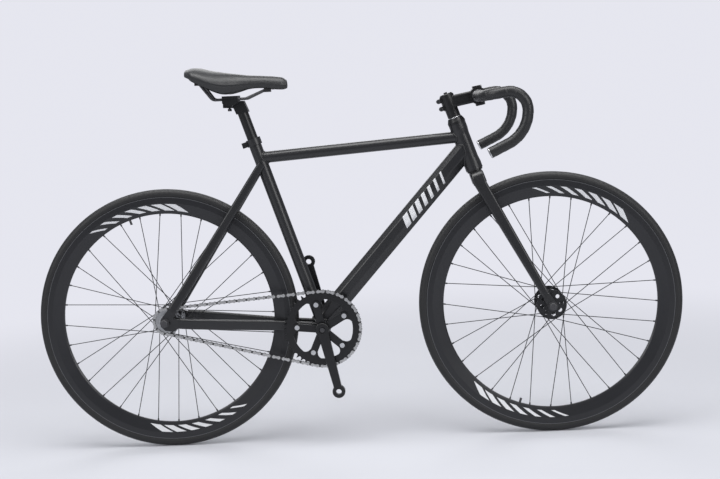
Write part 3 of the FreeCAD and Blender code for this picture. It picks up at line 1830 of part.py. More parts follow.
def sprocket():
    """The sprocket on the rear hub, with a gap at each roller that lies on it."""
    layout = chain_layout()
    half = size["tooth_thickness"] / 2
    low, high = size["chain_line"] - half, size["chain_line"] + half
    body = ring(
        "sprocket_body",
        rear_frame,
        size["sprocket_thread_radius"],
        sprocket_radius + size["tooth_height"],
        low,
        high,
    )
    pitch = float(size["chain_pitch"])
    before = layout["ring_arc"] + layout["straight"]
    first = math.ceil(before / pitch) * pitch - before
    angle = math.degrees(layout["lower"] - first / float(sprocket_radius))
    cut_teeth(body, sprocket_radius, size["sprocket_teeth"], angle - 90, high)
    keep(body, "sprocket")


def chainring():
    """The chainring: a toothed ring with five flared inward tabs that are bolted to the spider."""
    half = size["tooth_thickness"] / 2
    low, high = size["chain_line"] - half, size["chain_line"] + half
    inner = size["ring_inner_radius"]
    body = ring("chainring_body", crank_frame, inner, ring_radius + size["tooth_height"], low, high)
    circle, wide = size["bolt_circle_radius"], size["ring_tab_width"] / 2
    tab = new_sketch(body, lift=low)
    overlap, flare = inner + size["ring_tab_overlap"], size["ring_tab_flare"]
    broad = wide + flare
    brow = math.sqrt(float(inner) ** 2 - float(broad) ** 2)
    spring = brow - float(flare)
    draw_outline(
        tab,
        [
            (-wide, circle, wide, False),
            (0, circle - wide, wide, False),
            (wide, circle),
            (wide, spring, flare, True),
            (broad, brow),
            (broad, overlap),
            (-broad, overlap),
            (-broad, brow, flare, True),
            (-wide, spring),
        ],
    )
    add_pattern(body, add_pad(body, tab, size["tooth_thickness"]), size["spider_arms"])
    bolt_hole = new_sketch(body, lift=high)
    draw_circle(bolt_hole, size["ring_bolt_radius"], 0, circle)
    add_pattern(body, add_pocket(body, bolt_hole, size["tooth_thickness"]), size["spider_arms"])
    turn = math.degrees(chain_layout()["upper"]) - 90 - float(size["crank_rest_angle"])
    cut_teeth(body, ring_radius, size["ring_teeth"], turn, high)
    keep(body, "chainring")

    bolts = []
    spider_top = high + size["spider_thickness"]
    shank = size["ring_bolt_radius"]
    head, height = size["ring_bolt_head_radius"], size["ring_bolt_head_height"]
    for number in range(int(float(size["spider_arms"]))):
        arm_frame = turned_by(crank_frame, 360 * number / float(size["spider_arms"]))
        bolts.append(
            turned(
                f"ring_bolt_{number}",
                shifted(arm_frame, y=circle),
                [
                    (0, low - height),
                    (head, low - height),
                    (head, low),
                    (shank, low),
                    (shank, spider_top),
                    (head, spider_top),
                    (head, spider_top + height),
                    (0, spider_top + height),
                ],
            )
        )
    keep(group(*bolts), "chainring_bolts")


def crank_arm(name, frame):
    """A tapered crank arm with its boss, round pedal end and rounded outer edges."""
    body = new_body(f"crank_arm_{name}_body")
    body.Placement = frame
    half, slim = size["crank_arm_width"] / 2, size["crank_neck_width"] / 2
    end, reach = size["crank_end_radius"], size["crank_length"]
    neck = math.sqrt(float(end) ** 2 - float(slim) ** 2) - float(reach)
    sketch = new_sketch(body, lift=size["crank_inner_face"])
    draw_outline(
        sketch,
        [
            (-half, 0),
            (-slim, neck, end, False),
            (-end, -reach, end, False),
            (0, -reach - end, end, False),
            (end, -reach, end, False),
            (slim, neck),
            (half, 0),
        ],
    )
    pad = add_pad(body, sketch, size["crank_arm_thickness"])
    doc.recompute()
    outer_face = float(size["crank_inner_face"] + size["crank_arm_thickness"])
    rims = [
        f"Edge{number + 1}"
        for number, edge in enumerate(pad.Shape.Edges)
        if abs(edge.BoundBox.ZMin - outer_face) < 1e-6 and edge.BoundBox.YMin < -float(half)
    ]
    rounding = body.newObject("PartDesign::Fillet", "rounding")
    rounding.Base = (pad, rims)
    bind(rounding, "Radius", size["crank_edge"])
    high = size["crank_inner_face"] + size["crank_arm_thickness"]
    edge, boss_radius, low = size["crank_edge"], size["crank_boss_radius"], size["crank_boss_inner_face"]
    boss = turned(
        f"crank_boss_{name}",
        frame,
        [
            (0, low),
            (boss_radius, low),
            (boss_radius, high - edge, edge, False),
            (boss_radius - edge, high),
            (0, high),
        ],
    )
    return body, boss


def finish_crank(name, frame, *made_in_one):
    """Join the pieces of a crank arm and bore it for the spindle and the pedal."""
    high = size["crank_inner_face"] + size["crank_arm_thickness"]
    low = size["crank_boss_inner_face"]
    spindle = cylinder(f"crank_bore_{name}", frame, size["spindle_radius"], low, high)
    pedal = cylinder(
        f"pedal_hole_{name}",
        shifted(frame, y=-size["crank_length"]),
        size["pedal_thread_radius"],
        size["crank_inner_face"],
        high,
    )
    keep(cut(fuse(*made_in_one), spindle, pedal), f"crank_arm_{name}")


def spider():
    """The five arms that carry the chainring, on the right crank's boss."""
    body = new_body("spider_body")
    body.Placement = crank_frame
    face = size["chain_line"] + size["tooth_thickness"] / 2
    half, circle = size["spider_arm_width"] / 2, size["bolt_circle_radius"]
    sketch = new_sketch(body, lift=face)
    draw_outline(
        sketch,
        [
            (-half, 0),
            (half, 0),
            (half, circle, half, False),
            (0, circle + half, half, False),
            (-half, circle),
        ],
    )
    add_pattern(body, add_pad(body, sketch, size["spider_thickness"]), size["spider_arms"])
    hole = new_sketch(body, lift=face + size["spider_thickness"])
    draw_circle(hole, size["ring_bolt_radius"], 0, circle)
    add_pattern(body, add_pocket(body, hole, size["spider_thickness"]), size["spider_arms"])
    return body


def cranks():
    """Spindle with its two bolts, both crank arms, the spider and the chainring."""
    right_frame = crank_frame
    left_frame = turned_by(crank_frame, 180, X_AXIS)
    finish_crank("right", right_frame, *crank_arm("right", right_frame), spider())
    finish_crank("left", left_frame, *crank_arm("left", left_frame))
    tip = size["crank_inner_face"] + size["crank_arm_thickness"] - size["face_gap"]
    end = tip - size["crank_bolt_height"]
    shaft, bolt = size["spindle_radius"], size["crank_bolt_radius"]
    keep(
        turned(
            "spindle_body",
            crank_frame,
            mirrored([(0, tip), (bolt, tip), (bolt, end), (shaft, end)]),
        ),
        "bb_spindle",
    )
    chainring()


# Seatpost, clamp and saddle


def seatpost():
    """The post with the head that carries the saddle clamp on a round seat."""
    low = post_top - size["post_length"]
    tube = cylinder("post_tube", seat_frame, size["post_radius"], low, post_top)
    bore_radius, bore_top = size["post_radius"] - size["post_wall"], post_top - size["post_solid_top"]
    bore = cylinder("post_bore", seat_frame, bore_radius, low, bore_top)
    half = size["post_head_width"] / 2
    head = new_body("post_head_body")
    head.Placement = cross_frame
    sketch = new_sketch(head, lift=-half)
    draw_outline(
        sketch,
        [
            (-size["post_head_rear"], -size["post_head_top"]),
            (-size["post_head_rear"], -size["post_head_lip"]),
            (size["post_head_throat"], -size["post_head_throat_drop"]),
            (size["post_head_heel"], -size["post_head_drop"]),
            (size["post_head_front"], -size["post_head_front_drop"]),
            (size["post_head_nose"], -size["post_head_top"]),
        ],
    )
    add_pad(head, sketch, size["post_head_width"])
    seat = cylinder("cradle_seat", cross_frame, size["cradle_radius"] + size["face_gap"], -half, half)
    room = size["clamp_bolt_radius"] + size["clamp_bolt_swing"]
    middle = -size["clamp_bolt_setback"]
    slot = block(
        "clamp_bolt_slot",
        pivot_frame,
        (middle - room, middle + room),
        (-size["clamp_bolt_radius"] * 2, size["clamp_bolt_radius"] * 2),
        (-size["post_head_drop"], 0),
    )
    keep(cut(fuse(tube, head), seat, slot, bore), "seatpost")


def rail_places(side):
    """The corners of one saddle rail's middle line, from rear to front."""
    level = pivot - point(0, 0, size["rail_drop"])
    rear, front = size["rail_rear_reach"], size["rail_front_reach"]
    half = size["rail_spacing"] / 2
    return [
        level + point(x, -side * y, z)
        for x, y, z in (
            (-rear - size["rail_rear_lean"], size["rail_rear_spread"] / 2, size["rail_rear_rise"]),
            (-rear, half, 0),
            (front, half, 0),
            (front + size["rail_front_lean"], size["rail_front_spread"] / 2, size["rail_front_rise"]),
        )
    ]


def saddle_clamp():
    """The cradle under the rails, the plate over them and the bolt that draws them together."""
    half_length, half_width = size["cradle_length"] / 2, size["cradle_width"] / 2
    drop, split = size["rail_drop"], size["clamp_split"] / 2
    radius = size["cradle_radius"]
    drum = cylinder("cradle_drum", cross_frame, radius, -half_width, half_width)
    lower = block(
        "cradle_room",
        pivot_frame,
        (-half_length, half_length),
        (-half_width, half_width),
        (-radius, -drop - split),
    )
    plate_low = split - drop
    plate_high = plate_low + size["clamp_plate_height"]
    upper = block(
        "clamp_plate_body",
        pivot_frame,
        (-half_length, half_length),
        (-half_width, half_width),
        (plate_low, plate_high),
    )
    grooves = [
        cylinder(
            f"rail_groove_{name}",
            frame_at(
                pivot + point(-half_length, -side * size["rail_spacing"] / 2, -drop), Rotation(Y_AXIS, 90)
            ),
            size["rail_radius"] + size["running_clearance"],
            0,
            size["cradle_length"],
        )
        for name, side in SIDES.items()
    ]
    bolt_frame = shifted(pivot_frame, x=-size["clamp_bolt_setback"])
    head_top = -size["clamp_bolt_drop"]
    hole = cylinder("clamp_bolt_hole", bolt_frame, size["clamp_bolt_radius"], head_top, plate_high)
    bolt = turned(
        "clamp_bolt_body",
        bolt_frame,
        [
            (0, head_top - size["clamp_bolt_head_height"]),
            (size["clamp_bolt_head_radius"], head_top - size["clamp_bolt_head_height"]),
            (size["clamp_bolt_head_radius"], head_top),
            (size["clamp_bolt_radius"], head_top),
            (size["clamp_bolt_radius"], plate_high),
            (0, plate_high),
        ],
    )
    keep(cut(common(drum, lower), *grooves, hole), "saddle_cradle")
    keep(cut(upper, *grooves, hole), "saddle_clamp_plate")
    keep(bolt, "saddle_clamp_bolt")


def saddle_section(station):
    """The sizes of the saddle's cross section at one station."""
    along, wide, top, edge, skirt, pad = station
    height = float(size["saddle_height"])
    half = wide * float(size["saddle_width"]) / 2
    taper = min(1, half / float(size["saddle_narrow"]))
    foot = half - taper * float(size["saddle_tuck"])
    span = foot - taper * float(size["saddle_lip"])
    rise = (top - skirt) * height - pad * float(size["saddle_pad"])
    return {
        "x": along * float(size["saddle_length"]) - float(size["saddle_rear_reach"]),
        "half": half,
        "foot": foot,
        "span": span,
        "top": top * height,
        "edge": edge * height,
        "skirt": skirt * height,
        "arch": skirt * height + min(rise, ARCH_SHARE * span),
    }


def section_arc(x, first, middle, last):
    """An arc through three (y, z) places across the saddle."""
    return Part.Arc(*(Vector(x, *place) for place in (first, middle, last))).toShape()


def cover_wire(section):
    """The outline of the cover: crown, drawn-in sides, lips and the arch beneath."""
    x, half, foot, span = (section[name] for name in ("x", "half", "foot", "span"))
    top, edge, skirt, arch = (section[name] for name in ("top", "edge", "skirt", "arch"))
    level = (edge + skirt) / 2
    belly = (half + foot) / 2 + (half - foot) / 4
    edges = [
        section_arc(x, (-half, edge), (0, top), (half, edge)),
        section_arc(x, (half, edge), (belly, level), (foot, skirt)),
        Part.LineSegment(Vector(x, foot, skirt), Vector(x, span, skirt)).toShape(),
        section_arc(x, (span, skirt), (0, arch), (-span, skirt)),
        Part.LineSegment(Vector(x, -span, skirt), Vector(x, -foot, skirt)).toShape(),
        section_arc(x, (-foot, skirt), (-belly, level), (-half, edge)),
    ]
    return Part.Wire(edges)


def shell_wire(section):
    """The outline of the stiff shell, which reaches up into the cover before it is cut to it."""
    thickness = float(size["saddle_shell"])
    x, skirt, arch = (section[name] for name in ("x", "skirt", "arch"))
    span = section["span"] - thickness
    edges = [
        section_arc(x, (span, skirt), (0, arch + thickness), (-span, skirt)),
        section_arc(x, (-span, skirt), (0, arch - thickness), (span, skirt)),
    ]
    return Part.Wire(edges)


def saddle():
    """Rails, padded cover, and the stiff shell whose sockets hold the ends of the rails."""
    bend = [float(size["rail_bend_radius"])] * 2
    rails = [
        swept_round(f"rail_{name}", size["rail_radius"], rail_places(side), bend)
        for name, side in SIDES.items()
    ]
    keep(group(*rails), "saddle_rails")
    sections = [saddle_section(station) for station in SADDLE_STATIONS]
    level_frame = frame_at(pivot - point(0, 0, size["rail_drop"]))
    cover = Part.makeLoft([cover_wire(section) for section in sections], True, False)
    cover_piece = keep(shape_piece("saddle_cover_body", cover, level_frame), "saddle_cover")
    shell = Part.makeLoft([shell_wire(section) for section in sections[SHELL_STATIONS]], True, False)
    shell_piece = shape_piece("saddle_shell_body", shell, level_frame)
    half = size["saddle_socket"] / 2
    sockets = []
    for name, side in SIDES.items():
        places = rail_places(side)
        for end, place in (("rear", places[0]), ("front", places[-1])):
            sockets.append(
                block(
                    f"rail_socket_{end}_{name}",
                    frame_at(place),
                    (-half, half),
                    (-half, half),
                    (-half, size["saddle_socket"]),
                )
            )
    keep(cut(fuse(shell_piece, *sockets), cover_piece, *rails), "saddle_shell")


def check_document():
    """Stop where a feature failed or a piece is empty or not valid."""
    doc.recompute()
    failed = [thing.Name for thing in doc.Objects if {"Invalid", "Error"} & set(thing.State)]
    if failed:
        raise RuntimeError(f"features that failed: {failed}")
    faulty = [piece.Label for piece in pieces if piece.Shape.isNull() or not piece.Shape.isValid()]
    if faulty:
        raise RuntimeError(f"pieces without a valid shape: {faulty}")


def write_pieces():
    """Write every piece to a file of its own name."""
    os.makedirs("parts", exist_ok=True)
    for piece in pieces:
        piece.Shape.exportStep(f"parts/{piece.Label}.step")


stays(main_tubes())
seat_clamp()
frame_bearings()
axle_set("rear", rear_frame, size["rear_hub_width"], size["track_end_thickness"])
axle_set("front", front_frame, size["front_hub_width"], size["fork_end_thickness"])
fork()
headset_covers()
stem()
handlebar()
wheels()
chain()
sprocket()
cranks()
seatpost()
saddle_clamp()
saddle()
check_document()
write_pieces()
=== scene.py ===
"""Looks of a fixed gear bike around its solids, in metres.

X points forward, Y to the rider's left and Z up, with the origin on the ground between the wheels.
"""

from __future__ import annotations

import logging
import math
from dataclasses import dataclass
from enum import Enum
from functools import cached_property

import bpy
import numpy as np
from mathutils import Matrix

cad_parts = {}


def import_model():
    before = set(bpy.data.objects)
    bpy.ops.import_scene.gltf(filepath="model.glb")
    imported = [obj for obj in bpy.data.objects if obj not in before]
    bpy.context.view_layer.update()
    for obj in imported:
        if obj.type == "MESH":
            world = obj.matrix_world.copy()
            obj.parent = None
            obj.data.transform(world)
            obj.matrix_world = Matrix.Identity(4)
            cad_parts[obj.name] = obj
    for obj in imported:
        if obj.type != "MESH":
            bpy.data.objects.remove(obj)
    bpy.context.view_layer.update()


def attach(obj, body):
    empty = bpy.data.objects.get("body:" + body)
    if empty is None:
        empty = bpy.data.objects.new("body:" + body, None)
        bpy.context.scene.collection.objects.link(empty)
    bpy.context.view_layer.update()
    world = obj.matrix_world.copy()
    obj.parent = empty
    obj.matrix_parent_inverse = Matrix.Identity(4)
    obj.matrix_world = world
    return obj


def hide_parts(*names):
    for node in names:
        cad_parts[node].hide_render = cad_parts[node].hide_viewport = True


Array = np.ndarray
Colour = tuple[float, float, float]
LOG = logging.getLogger("bike")
MM = 0.001
TURN = 2 * math.pi
ACROSS = np.array([0.0, 1.0, 0.0])
HEAD_FOOT = np.array([0.4375943, 0.0, 0.3183086])
HEAD_LEAN = 18.8
LEAST_ARC_STEPS = 8


class Body(Enum):
    """The rigid bodies that the pieces ride on."""

    FRAME = "frame"
    STEERING = "steering"
    BARS = "bars"
    FRONT_WHEEL = "front_wheel"
    REAR_WHEEL = "rear_wheel"
    SADDLE = "saddle"


class Side(Enum):
    """The rider's right, where the chain is, and left, as the sign of Y."""

    RIGHT = -1
    LEFT = 1


# Vectors and surfaces


def unit(vectors: Array) -> Array:
    """Scale vectors to length one."""
    return vectors / np.linalg.norm(vectors, axis=-1, keepdims=True)


def lean(degrees: float) -> Array:
    """The upward direction in the bike's plane that leans back from upright by an angle."""
    angle = math.radians(degrees)
    return np.array([-math.sin(angle), 0.0, math.cos(angle)])


def straight(start: Array, end: Array, step: float) -> Array:
    """Places from start to just before end: start plus equal shares of the way between them."""
    count = max(int(np.linalg.norm(end - start) / step), 1)
    return start + (end - start) * np.linspace(0, 1, count, endpoint=False)[:, None]


def rounded_line(corners: Array, radii: list[float], step: float) -> Array:
    """Sample straight runs joined by tangent arcs.

    At a corner that turns by twice the angle h, the arc of radius r begins r tan h before it. Its
    centre is r / cos h from the corner, towards the inside of the turn, and a place on it is the
    centre plus cos a times the way out to its start plus r sin a times the direction of arrival.

    Args:
        corners: The corners in order, with the two ends.
        radii: The radius at each inner corner.
        step: The distance between samples.

    Returns:
        The places along the line.
    """
    parts, reached = [], corners[0]
    for before, corner, after, radius in zip(corners, corners[1:], corners[2:], radii):
        arrive, leave = unit(corner - before), unit(after - corner)
        half = math.acos(float(np.clip(arrive @ leave, -1, 1))) / 2
        start = corner - arrive * radius * math.tan(half)
        centre = corner + unit(leave - arrive) * radius / math.cos(half)
        parts.append(straight(reached, start, step))
        count = max(int(2 * half * radius / step), LEAST_ARC_STEPS)
        angle = np.linspace(0, 2 * half, count, endpoint=False)[:, None]
        parts.append(centre + (start - centre) * np.cos(angle) + arrive * radius * np.sin(angle))
        reached = corner + leave * radius * math.tan(half)
    parts += [straight(reached, corners[-1], step), corners[-1:]]
    return np.vstack(parts)


def smooth_through(places: Array, values: Array, at: Array) -> Array:
    """Cubic curve through given values: Hermite pieces whose slopes come from both neighbours.

    Args:
        places: Where the values are given, in rising order.
        values: The values there, one row for each place.
        at: Where to work the curve out.

    Returns:
        The values at those places, one row for each.
    """
    slopes = np.gradient(values, places, axis=0)
    low = np.clip(np.searchsorted(places, at) - 1, 0, len(places) - 2)
    width = (places[low + 1] - places[low])[:, None]
    t = ((at - places[low])[:, None]) / width
    first, second = values[low], values[low + 1]
    return (
        first * (2 * t**3 - 3 * t**2 + 1)
        + second * (3 * t**2 - 2 * t**3)
        + slopes[low] * width * (t**3 - 2 * t**2 + t)
        + slopes[low + 1] * width * (t**3 - t**2)
    )


def tube(centres: Array, radius: Array, towards: Array, closed: bool = False) -> Array:
    """Carry a round section along a path: centre + r (cos a n + sin a b).

    n is the part of a guiding direction that is square to the path, and b is square to both.

    Args:
        centres: The path, one place for each ring.
        radius: The radius of each ring at each of its angles.
        towards: The guiding direction, one for all rings or one for each.
        closed: Whether the path ends where it starts.

    Returns:
        A grid of places, ring by ring.
    """
    if closed:
        step = np.roll(centres, -1, 0) - np.roll(centres, 1, 0)
    else:
        step = np.gradient(centres, axis=0)
    along = unit(step)
    guide = np.broadcast_to(towards, centres.shape)
    normal = unit(guide - along * np.sum(guide * along, axis=1, keepdims=True))
    side = np.cross(along, normal)
    angle = np.linspace(0, TURN, radius.shape[1], endpoint=False)
    around = normal[:, None] * np.cos(angle)[:, None] + side[:, None] * np.sin(angle)[:, None]
    return centres[:, None] + around * radius[..., None]


def grid_faces(index: Array, wrap_rows: bool, wrap_columns: bool) -> Array:
    """Four corners of every cell of a grid.

    Args:
        index: The grid's vertex numbers.
        wrap_rows: Whether the last row meets the first.
        wrap_columns: Whether the last column meets the first.

    Returns:
        Four vertex numbers for each cell.
    """
    below = np.roll(index, -1, 0)
    right, across = np.roll(index, -1, 1), np.roll(below, -1, 1)
    cells = np.stack([index, right, across, below], axis=-1)
    rows = len(index) if wrap_rows else len(index) - 1
    columns = index.shape[1] if wrap_columns else index.shape[1] - 1
    return cells[:rows, :columns].reshape(-1, 4)


def mesh_piece(name: str, places: Array, faces: list[list[int]]) -> bpy.types.Object:
    """Make a smooth mesh object at the origin.

    Args:
        name: The piece's name.
        places: The vertices, one row each.
        faces: Vertex numbers of each face.

    Returns:
        The object, linked to the scene.
    """
    mesh = bpy.data.meshes.new(name)
    mesh.from_pydata(places.tolist(), [], faces)
    mesh.validate()
    mesh.shade_smooth()
    piece = bpy.data.objects.new(name, mesh)
    bpy.context.scene.collection.objects.link(piece)
    return piece


def closed_grid(name: str, grids: list[Array]) -> bpy.types.Object:
    """A piece of one or more grids that close on themselves both ways, like a ring.

    Args:
        name: The piece's name.
        grids: The places of each grid.

    Returns:
        The object.
    """
    faces, start = [], 0
    for grid in grids:
        index = np.arange(start, start + grid[..., 0].size).reshape(grid.shape[:2])
        faces.append(grid_faces(index, True, True))
        start += index.size
    places = np.vstack([grid.reshape(-1, 3) for grid in grids])
    return mesh_piece(name, places, np.vstack(faces).tolist())


def capped_grid(name: str, grid: Array) -> bpy.types.Object:
    """A piece of rings in a row whose first and last ring are closed by a fan to their middle.

    Args:
        name: The piece's name.
        grid: The places, ring by ring.

    Returns:
        The object.
    """
    index = np.arange(grid[..., 0].size).reshape(grid.shape[:2])
    faces = grid_faces(index, False, True).tolist()
    places = np.vstack([grid.reshape(-1, 3), grid[0].mean(0), grid[-1].mean(0)])
    for middle, ring in ((index.size, index[0][::-1]), (index.size + 1, index[-1])):
        fan = [np.full(ring.size, middle), ring, np.roll(ring, -1)]
        faces += np.stack(fan, axis=-1).tolist()
    return mesh_piece(name, places, faces)


def place_piece(
    piece: bpy.types.Object, body: Body, slot: str, finish: Finish, *nodes: str
) -> None:
    """Set a finished piece on its body.

    Args:
        piece: The piece.
        body: The body that it rides on.
        slot: Its material slot, not used.
        finish: Its finish.
        nodes: The nodes that it stands for.
    """
    piece.data.materials.clear()
    piece.data.materials.append(finish.paint())
    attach(piece, body.value)
    if nodes:
        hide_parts(*nodes)
    LOG.info("%s: %d faces on %s", piece.name, len(piece.data.polygons), body.value)


# Shader arithmetic and finishes


class Signal:
    """An output socket whose operators add the nodes that work them out."""

    def __init__(self, sheet: NodeSheet, socket: bpy.types.NodeSocket) -> None:
        """Keep the socket and the sheet that it is on."""
        self.sheet = sheet
        self.socket = socket

    def _maths(self, operation: str, first: Signal | float, second: Signal | float) -> Signal:
        """One step of arithmetic."""
        return self.sheet.node("ShaderNodeMath", {"operation": operation}, {0: first, 1: second})

    def __add__(self, other: Signal | float) -> Signal:
        """This plus another, either way round."""
        return self._maths("ADD", self, other)

    def __sub__(self, other: Signal | float) -> Signal:
        """This less another."""
        return self._maths("SUBTRACT", self, other)

    def __rsub__(self, other: float) -> Signal:
        """A number less this."""
        return self._maths("SUBTRACT", other, self)

    def __mul__(self, other: Signal | float) -> Signal:
        """This times another, either way round."""
        return self._maths("MULTIPLY", self, other)

    __radd__, __rmul__ = __add__, __mul__

    def __pow__(self, other: float) -> Signal:
        """This raised to a power."""
        return self._maths("POWER", self, other)

    def sine(self) -> Signal:
        """The sine of this, in radians."""
        return self._maths("SINE", self, 0.0)

    def folded(self, period: float) -> Signal:
        """This less the whole periods in it, from nought up to one period."""
        return self._maths("FLOORED_MODULO", self, period)

    def size(self) -> Signal:
        """This without its sign."""
        return self._maths("ABSOLUTE", self, 0.0)

    def between(self, low: float, high: float) -> Signal:
        """Nought below low, one above high and a smooth rise between them."""
        settings = {"interpolation_type": "SMOOTHSTEP"}
        return self.sheet.node(
            "ShaderNodeMapRange", settings, {"Value": self, "From Min": low, "From Max": high}
        )

    def above(self, level: float, edge: float) -> Signal:
        """One above a level and nought below it, with a soft edge to both sides."""
        return self.between(level - edge, level + edge)

    def within(self, span: tuple[float, float], edge: float) -> Signal:
        """One inside a span and nought outside it, with a soft edge at both ends."""
        return self.above(span[0], edge) * (1.0 - self.above(span[1], edge))


class NodeSheet:
    """The nodes of one material or world."""

    def __init__(self, owner: bpy.types.Material | bpy.types.World) -> None:
        """Take over the owner's nodes.

        Args:
            owner: The material or world.
        """
        self.owner = owner
        owner.use_nodes = True
        self.tree = owner.node_tree
        self.shader = self.tree.nodes.get("Principled BSDF")

    def node(self, kind: str, settings: dict, inputs: dict, output: int | str = 0) -> Signal:
        """Add a node.

        Args:
            kind: The node's type.
            settings: Its properties, set first.
            inputs: Values or signals by socket name or number.
            output: The socket to give back.

        Returns:
            That output as a signal.
        """
        node = self.tree.nodes.new(kind)
        for name, value in settings.items():
            setattr(node, name, value)
        for name, value in inputs.items():
            self.feed(node.inputs[name], value)
        return Signal(self, node.outputs[output])

    def feed(self, socket: bpy.types.NodeSocket, value: Signal | float | Colour) -> None:
        """Link a signal to a socket, or set its constant.

        Args:
            socket: The input.
            value: The signal or the constant.
        """
        if isinstance(value, Signal):
            self.tree.links.new(value.socket, socket)
        elif isinstance(value, tuple) and len(value) == 3 and socket.type == "RGBA":
            socket.default_value = (*value, 1.0)
        else:
            socket.default_value = value

    def seen(self) -> Signal:
        """One for the camera's own view and nought for light that bounces."""
        return self.node("ShaderNodeLightPath", {}, {}, "Is Camera Ray")

    @cached_property
    def place(self) -> Signal:
        """The piece's own coordinates."""
        return self.node("ShaderNodeTexCoord", {}, {}, "Object")

    def axis(self, name: str) -> Signal:
        """One of the piece's own coordinates."""
        return self.node("ShaderNodeSeparateXYZ", {}, {0: self.place}, name)

    def noise(self, scale: float, detail: float = 2.0) -> Signal:
        """Smooth random patches, so many to the metre."""
        inputs = {"Vector": self.place, "Scale": scale, "Detail": detail}
        return self.node("ShaderNodeTexNoise", {}, inputs, 0)

    def cells(self, scale: float) -> Signal:
        """The distance to the nearest of many random places."""
        inputs = {"Vector": self.place, "Scale": scale}
        return self.node("ShaderNodeTexVoronoi", {}, inputs, "Distance")

    def blend(self, share: Signal, first: Signal | Colour, second: Signal | Colour) -> Signal:
        """A colour between two others."""
        return self.node("ShaderNodeMix", {"data_type": "RGBA"}, {0: share, 6: first, 7: second}, 2)

    def offsets(self, centre: tuple[float, float]) -> tuple[Signal, Signal]:
        """How far the piece's places are ahead of and above an axle through (x, z)."""
        return self.axis("X") - centre[0], self.axis("Z") - centre[1]

    def radius(self, centre: tuple[float, float]) -> Signal:
        """The distance from an axle: the root of the sum of both squares."""
        x, z = self.offsets(centre)
        return (x * x + z * z) ** 0.5

    def turn(self, centre: tuple[float, float]) -> Signal:
        """The angle round an axle, from the front over the top."""
        x, z = self.offsets(centre)
        return self.node("ShaderNodeMath", {"operation": "ARCTAN2"}, {0: z, 1: x})

    def bars(self, along: Signal, span: float, count: int) -> Signal:
        """Bars that thin out along a span: one on each bar and nought between and beyond them.

        Args:
            along: The way along the span, nought at its start.
            span: The length of the span.
            count: The number of bars.

        Returns:
            The share of the bars' colour.
        """
        widest, loss, softness = 0.82, 0.62, 0.03
        period, edge = span / count, 0.002 * span
        share = along.folded(period) * (1 / period)
        covered = widest - loss * (along * (1 / span))
        inside = along.between(0.0, edge) * (1.0 - along.between(span - edge, span))
        return (covered - share).between(0.0, softness) * inside

    def shade(self, **inputs: Signal | float | Colour) -> None:
        """Feed the shader's sockets, named with underscores for spaces."""
        for name, value in inputs.items():
            self.feed(self.shader.inputs[name.replace("_", " ")], value)

    def relief(self, height: Signal, depth: float) -> None:
        """Raise the surface by a height from nought to one times a depth."""
        inputs = {"Height": height, "Distance": depth, "Strength": 1.0}
        self.shade(Normal=self.node("ShaderNodeBump", {}, inputs, "Normal"))


@dataclass(frozen=True)
class Finish:
    """A surface whose colour and gloss vary in soft patches over a fine grain."""

    name: str
    colour: Colour
    shade: Colour
    roughness: float
    spread: float = 0.10
    patch: float = 16.0
    grain: float = 1400.0
    depth: float = 0.03 * MM
    metallic: float = 0.0
    coat: float = 0.0
    specular: float = 0.5

    def tint(self, sheet: NodeSheet) -> Signal:
        """The colour over the surface."""
        return sheet.blend(sheet.noise(self.patch, detail=4.0), self.shade, self.colour)

    def gloss(self, sheet: NodeSheet) -> Signal:
        """The roughness over the surface."""
        return self.roughness + (sheet.noise(self.patch * 3, detail=3.0) - 0.5) * self.spread

    def height(self, sheet: NodeSheet) -> Signal:
        """The grain's height over the surface."""
        return sheet.noise(self.grain)

    def paint(self) -> bpy.types.Material:
        """Give the material, made once.

        Returns:
            The material of this finish.
        """
        made = bpy.data.materials.get(self.name)
        if made:
            return made
        sheet = NodeSheet(bpy.data.materials.new(self.name))
        sheet.shade(
            Base_Color=self.tint(sheet),
            Roughness=self.gloss(sheet),
            Metallic=self.metallic,
            Coat_Weight=self.coat,
            Specular_IOR_Level=self.specular,
        )
        sheet.relief(self.height(sheet), self.depth)
        return sheet.owner


@dataclass(frozen=True)
class TurnedFinish(Finish):
    """Metal turned on a lathe: fine rings round an axle."""

    centre: tuple[float, float] = (0.0, 0.0)
    pitch: float = 0.6 * MM
    ring_height: float = 0.35
    grain_height: float = 0.3

    def height(self, sheet: NodeSheet) -> Signal:
        """Rings: the sine of the radius over the pitch, roughened by the grain."""
        rings = (sheet.radius(self.centre) * (TURN / self.pitch)).sine() * self.ring_height
        return rings + 0.5 + sheet.noise(self.grain) * self.grain_height


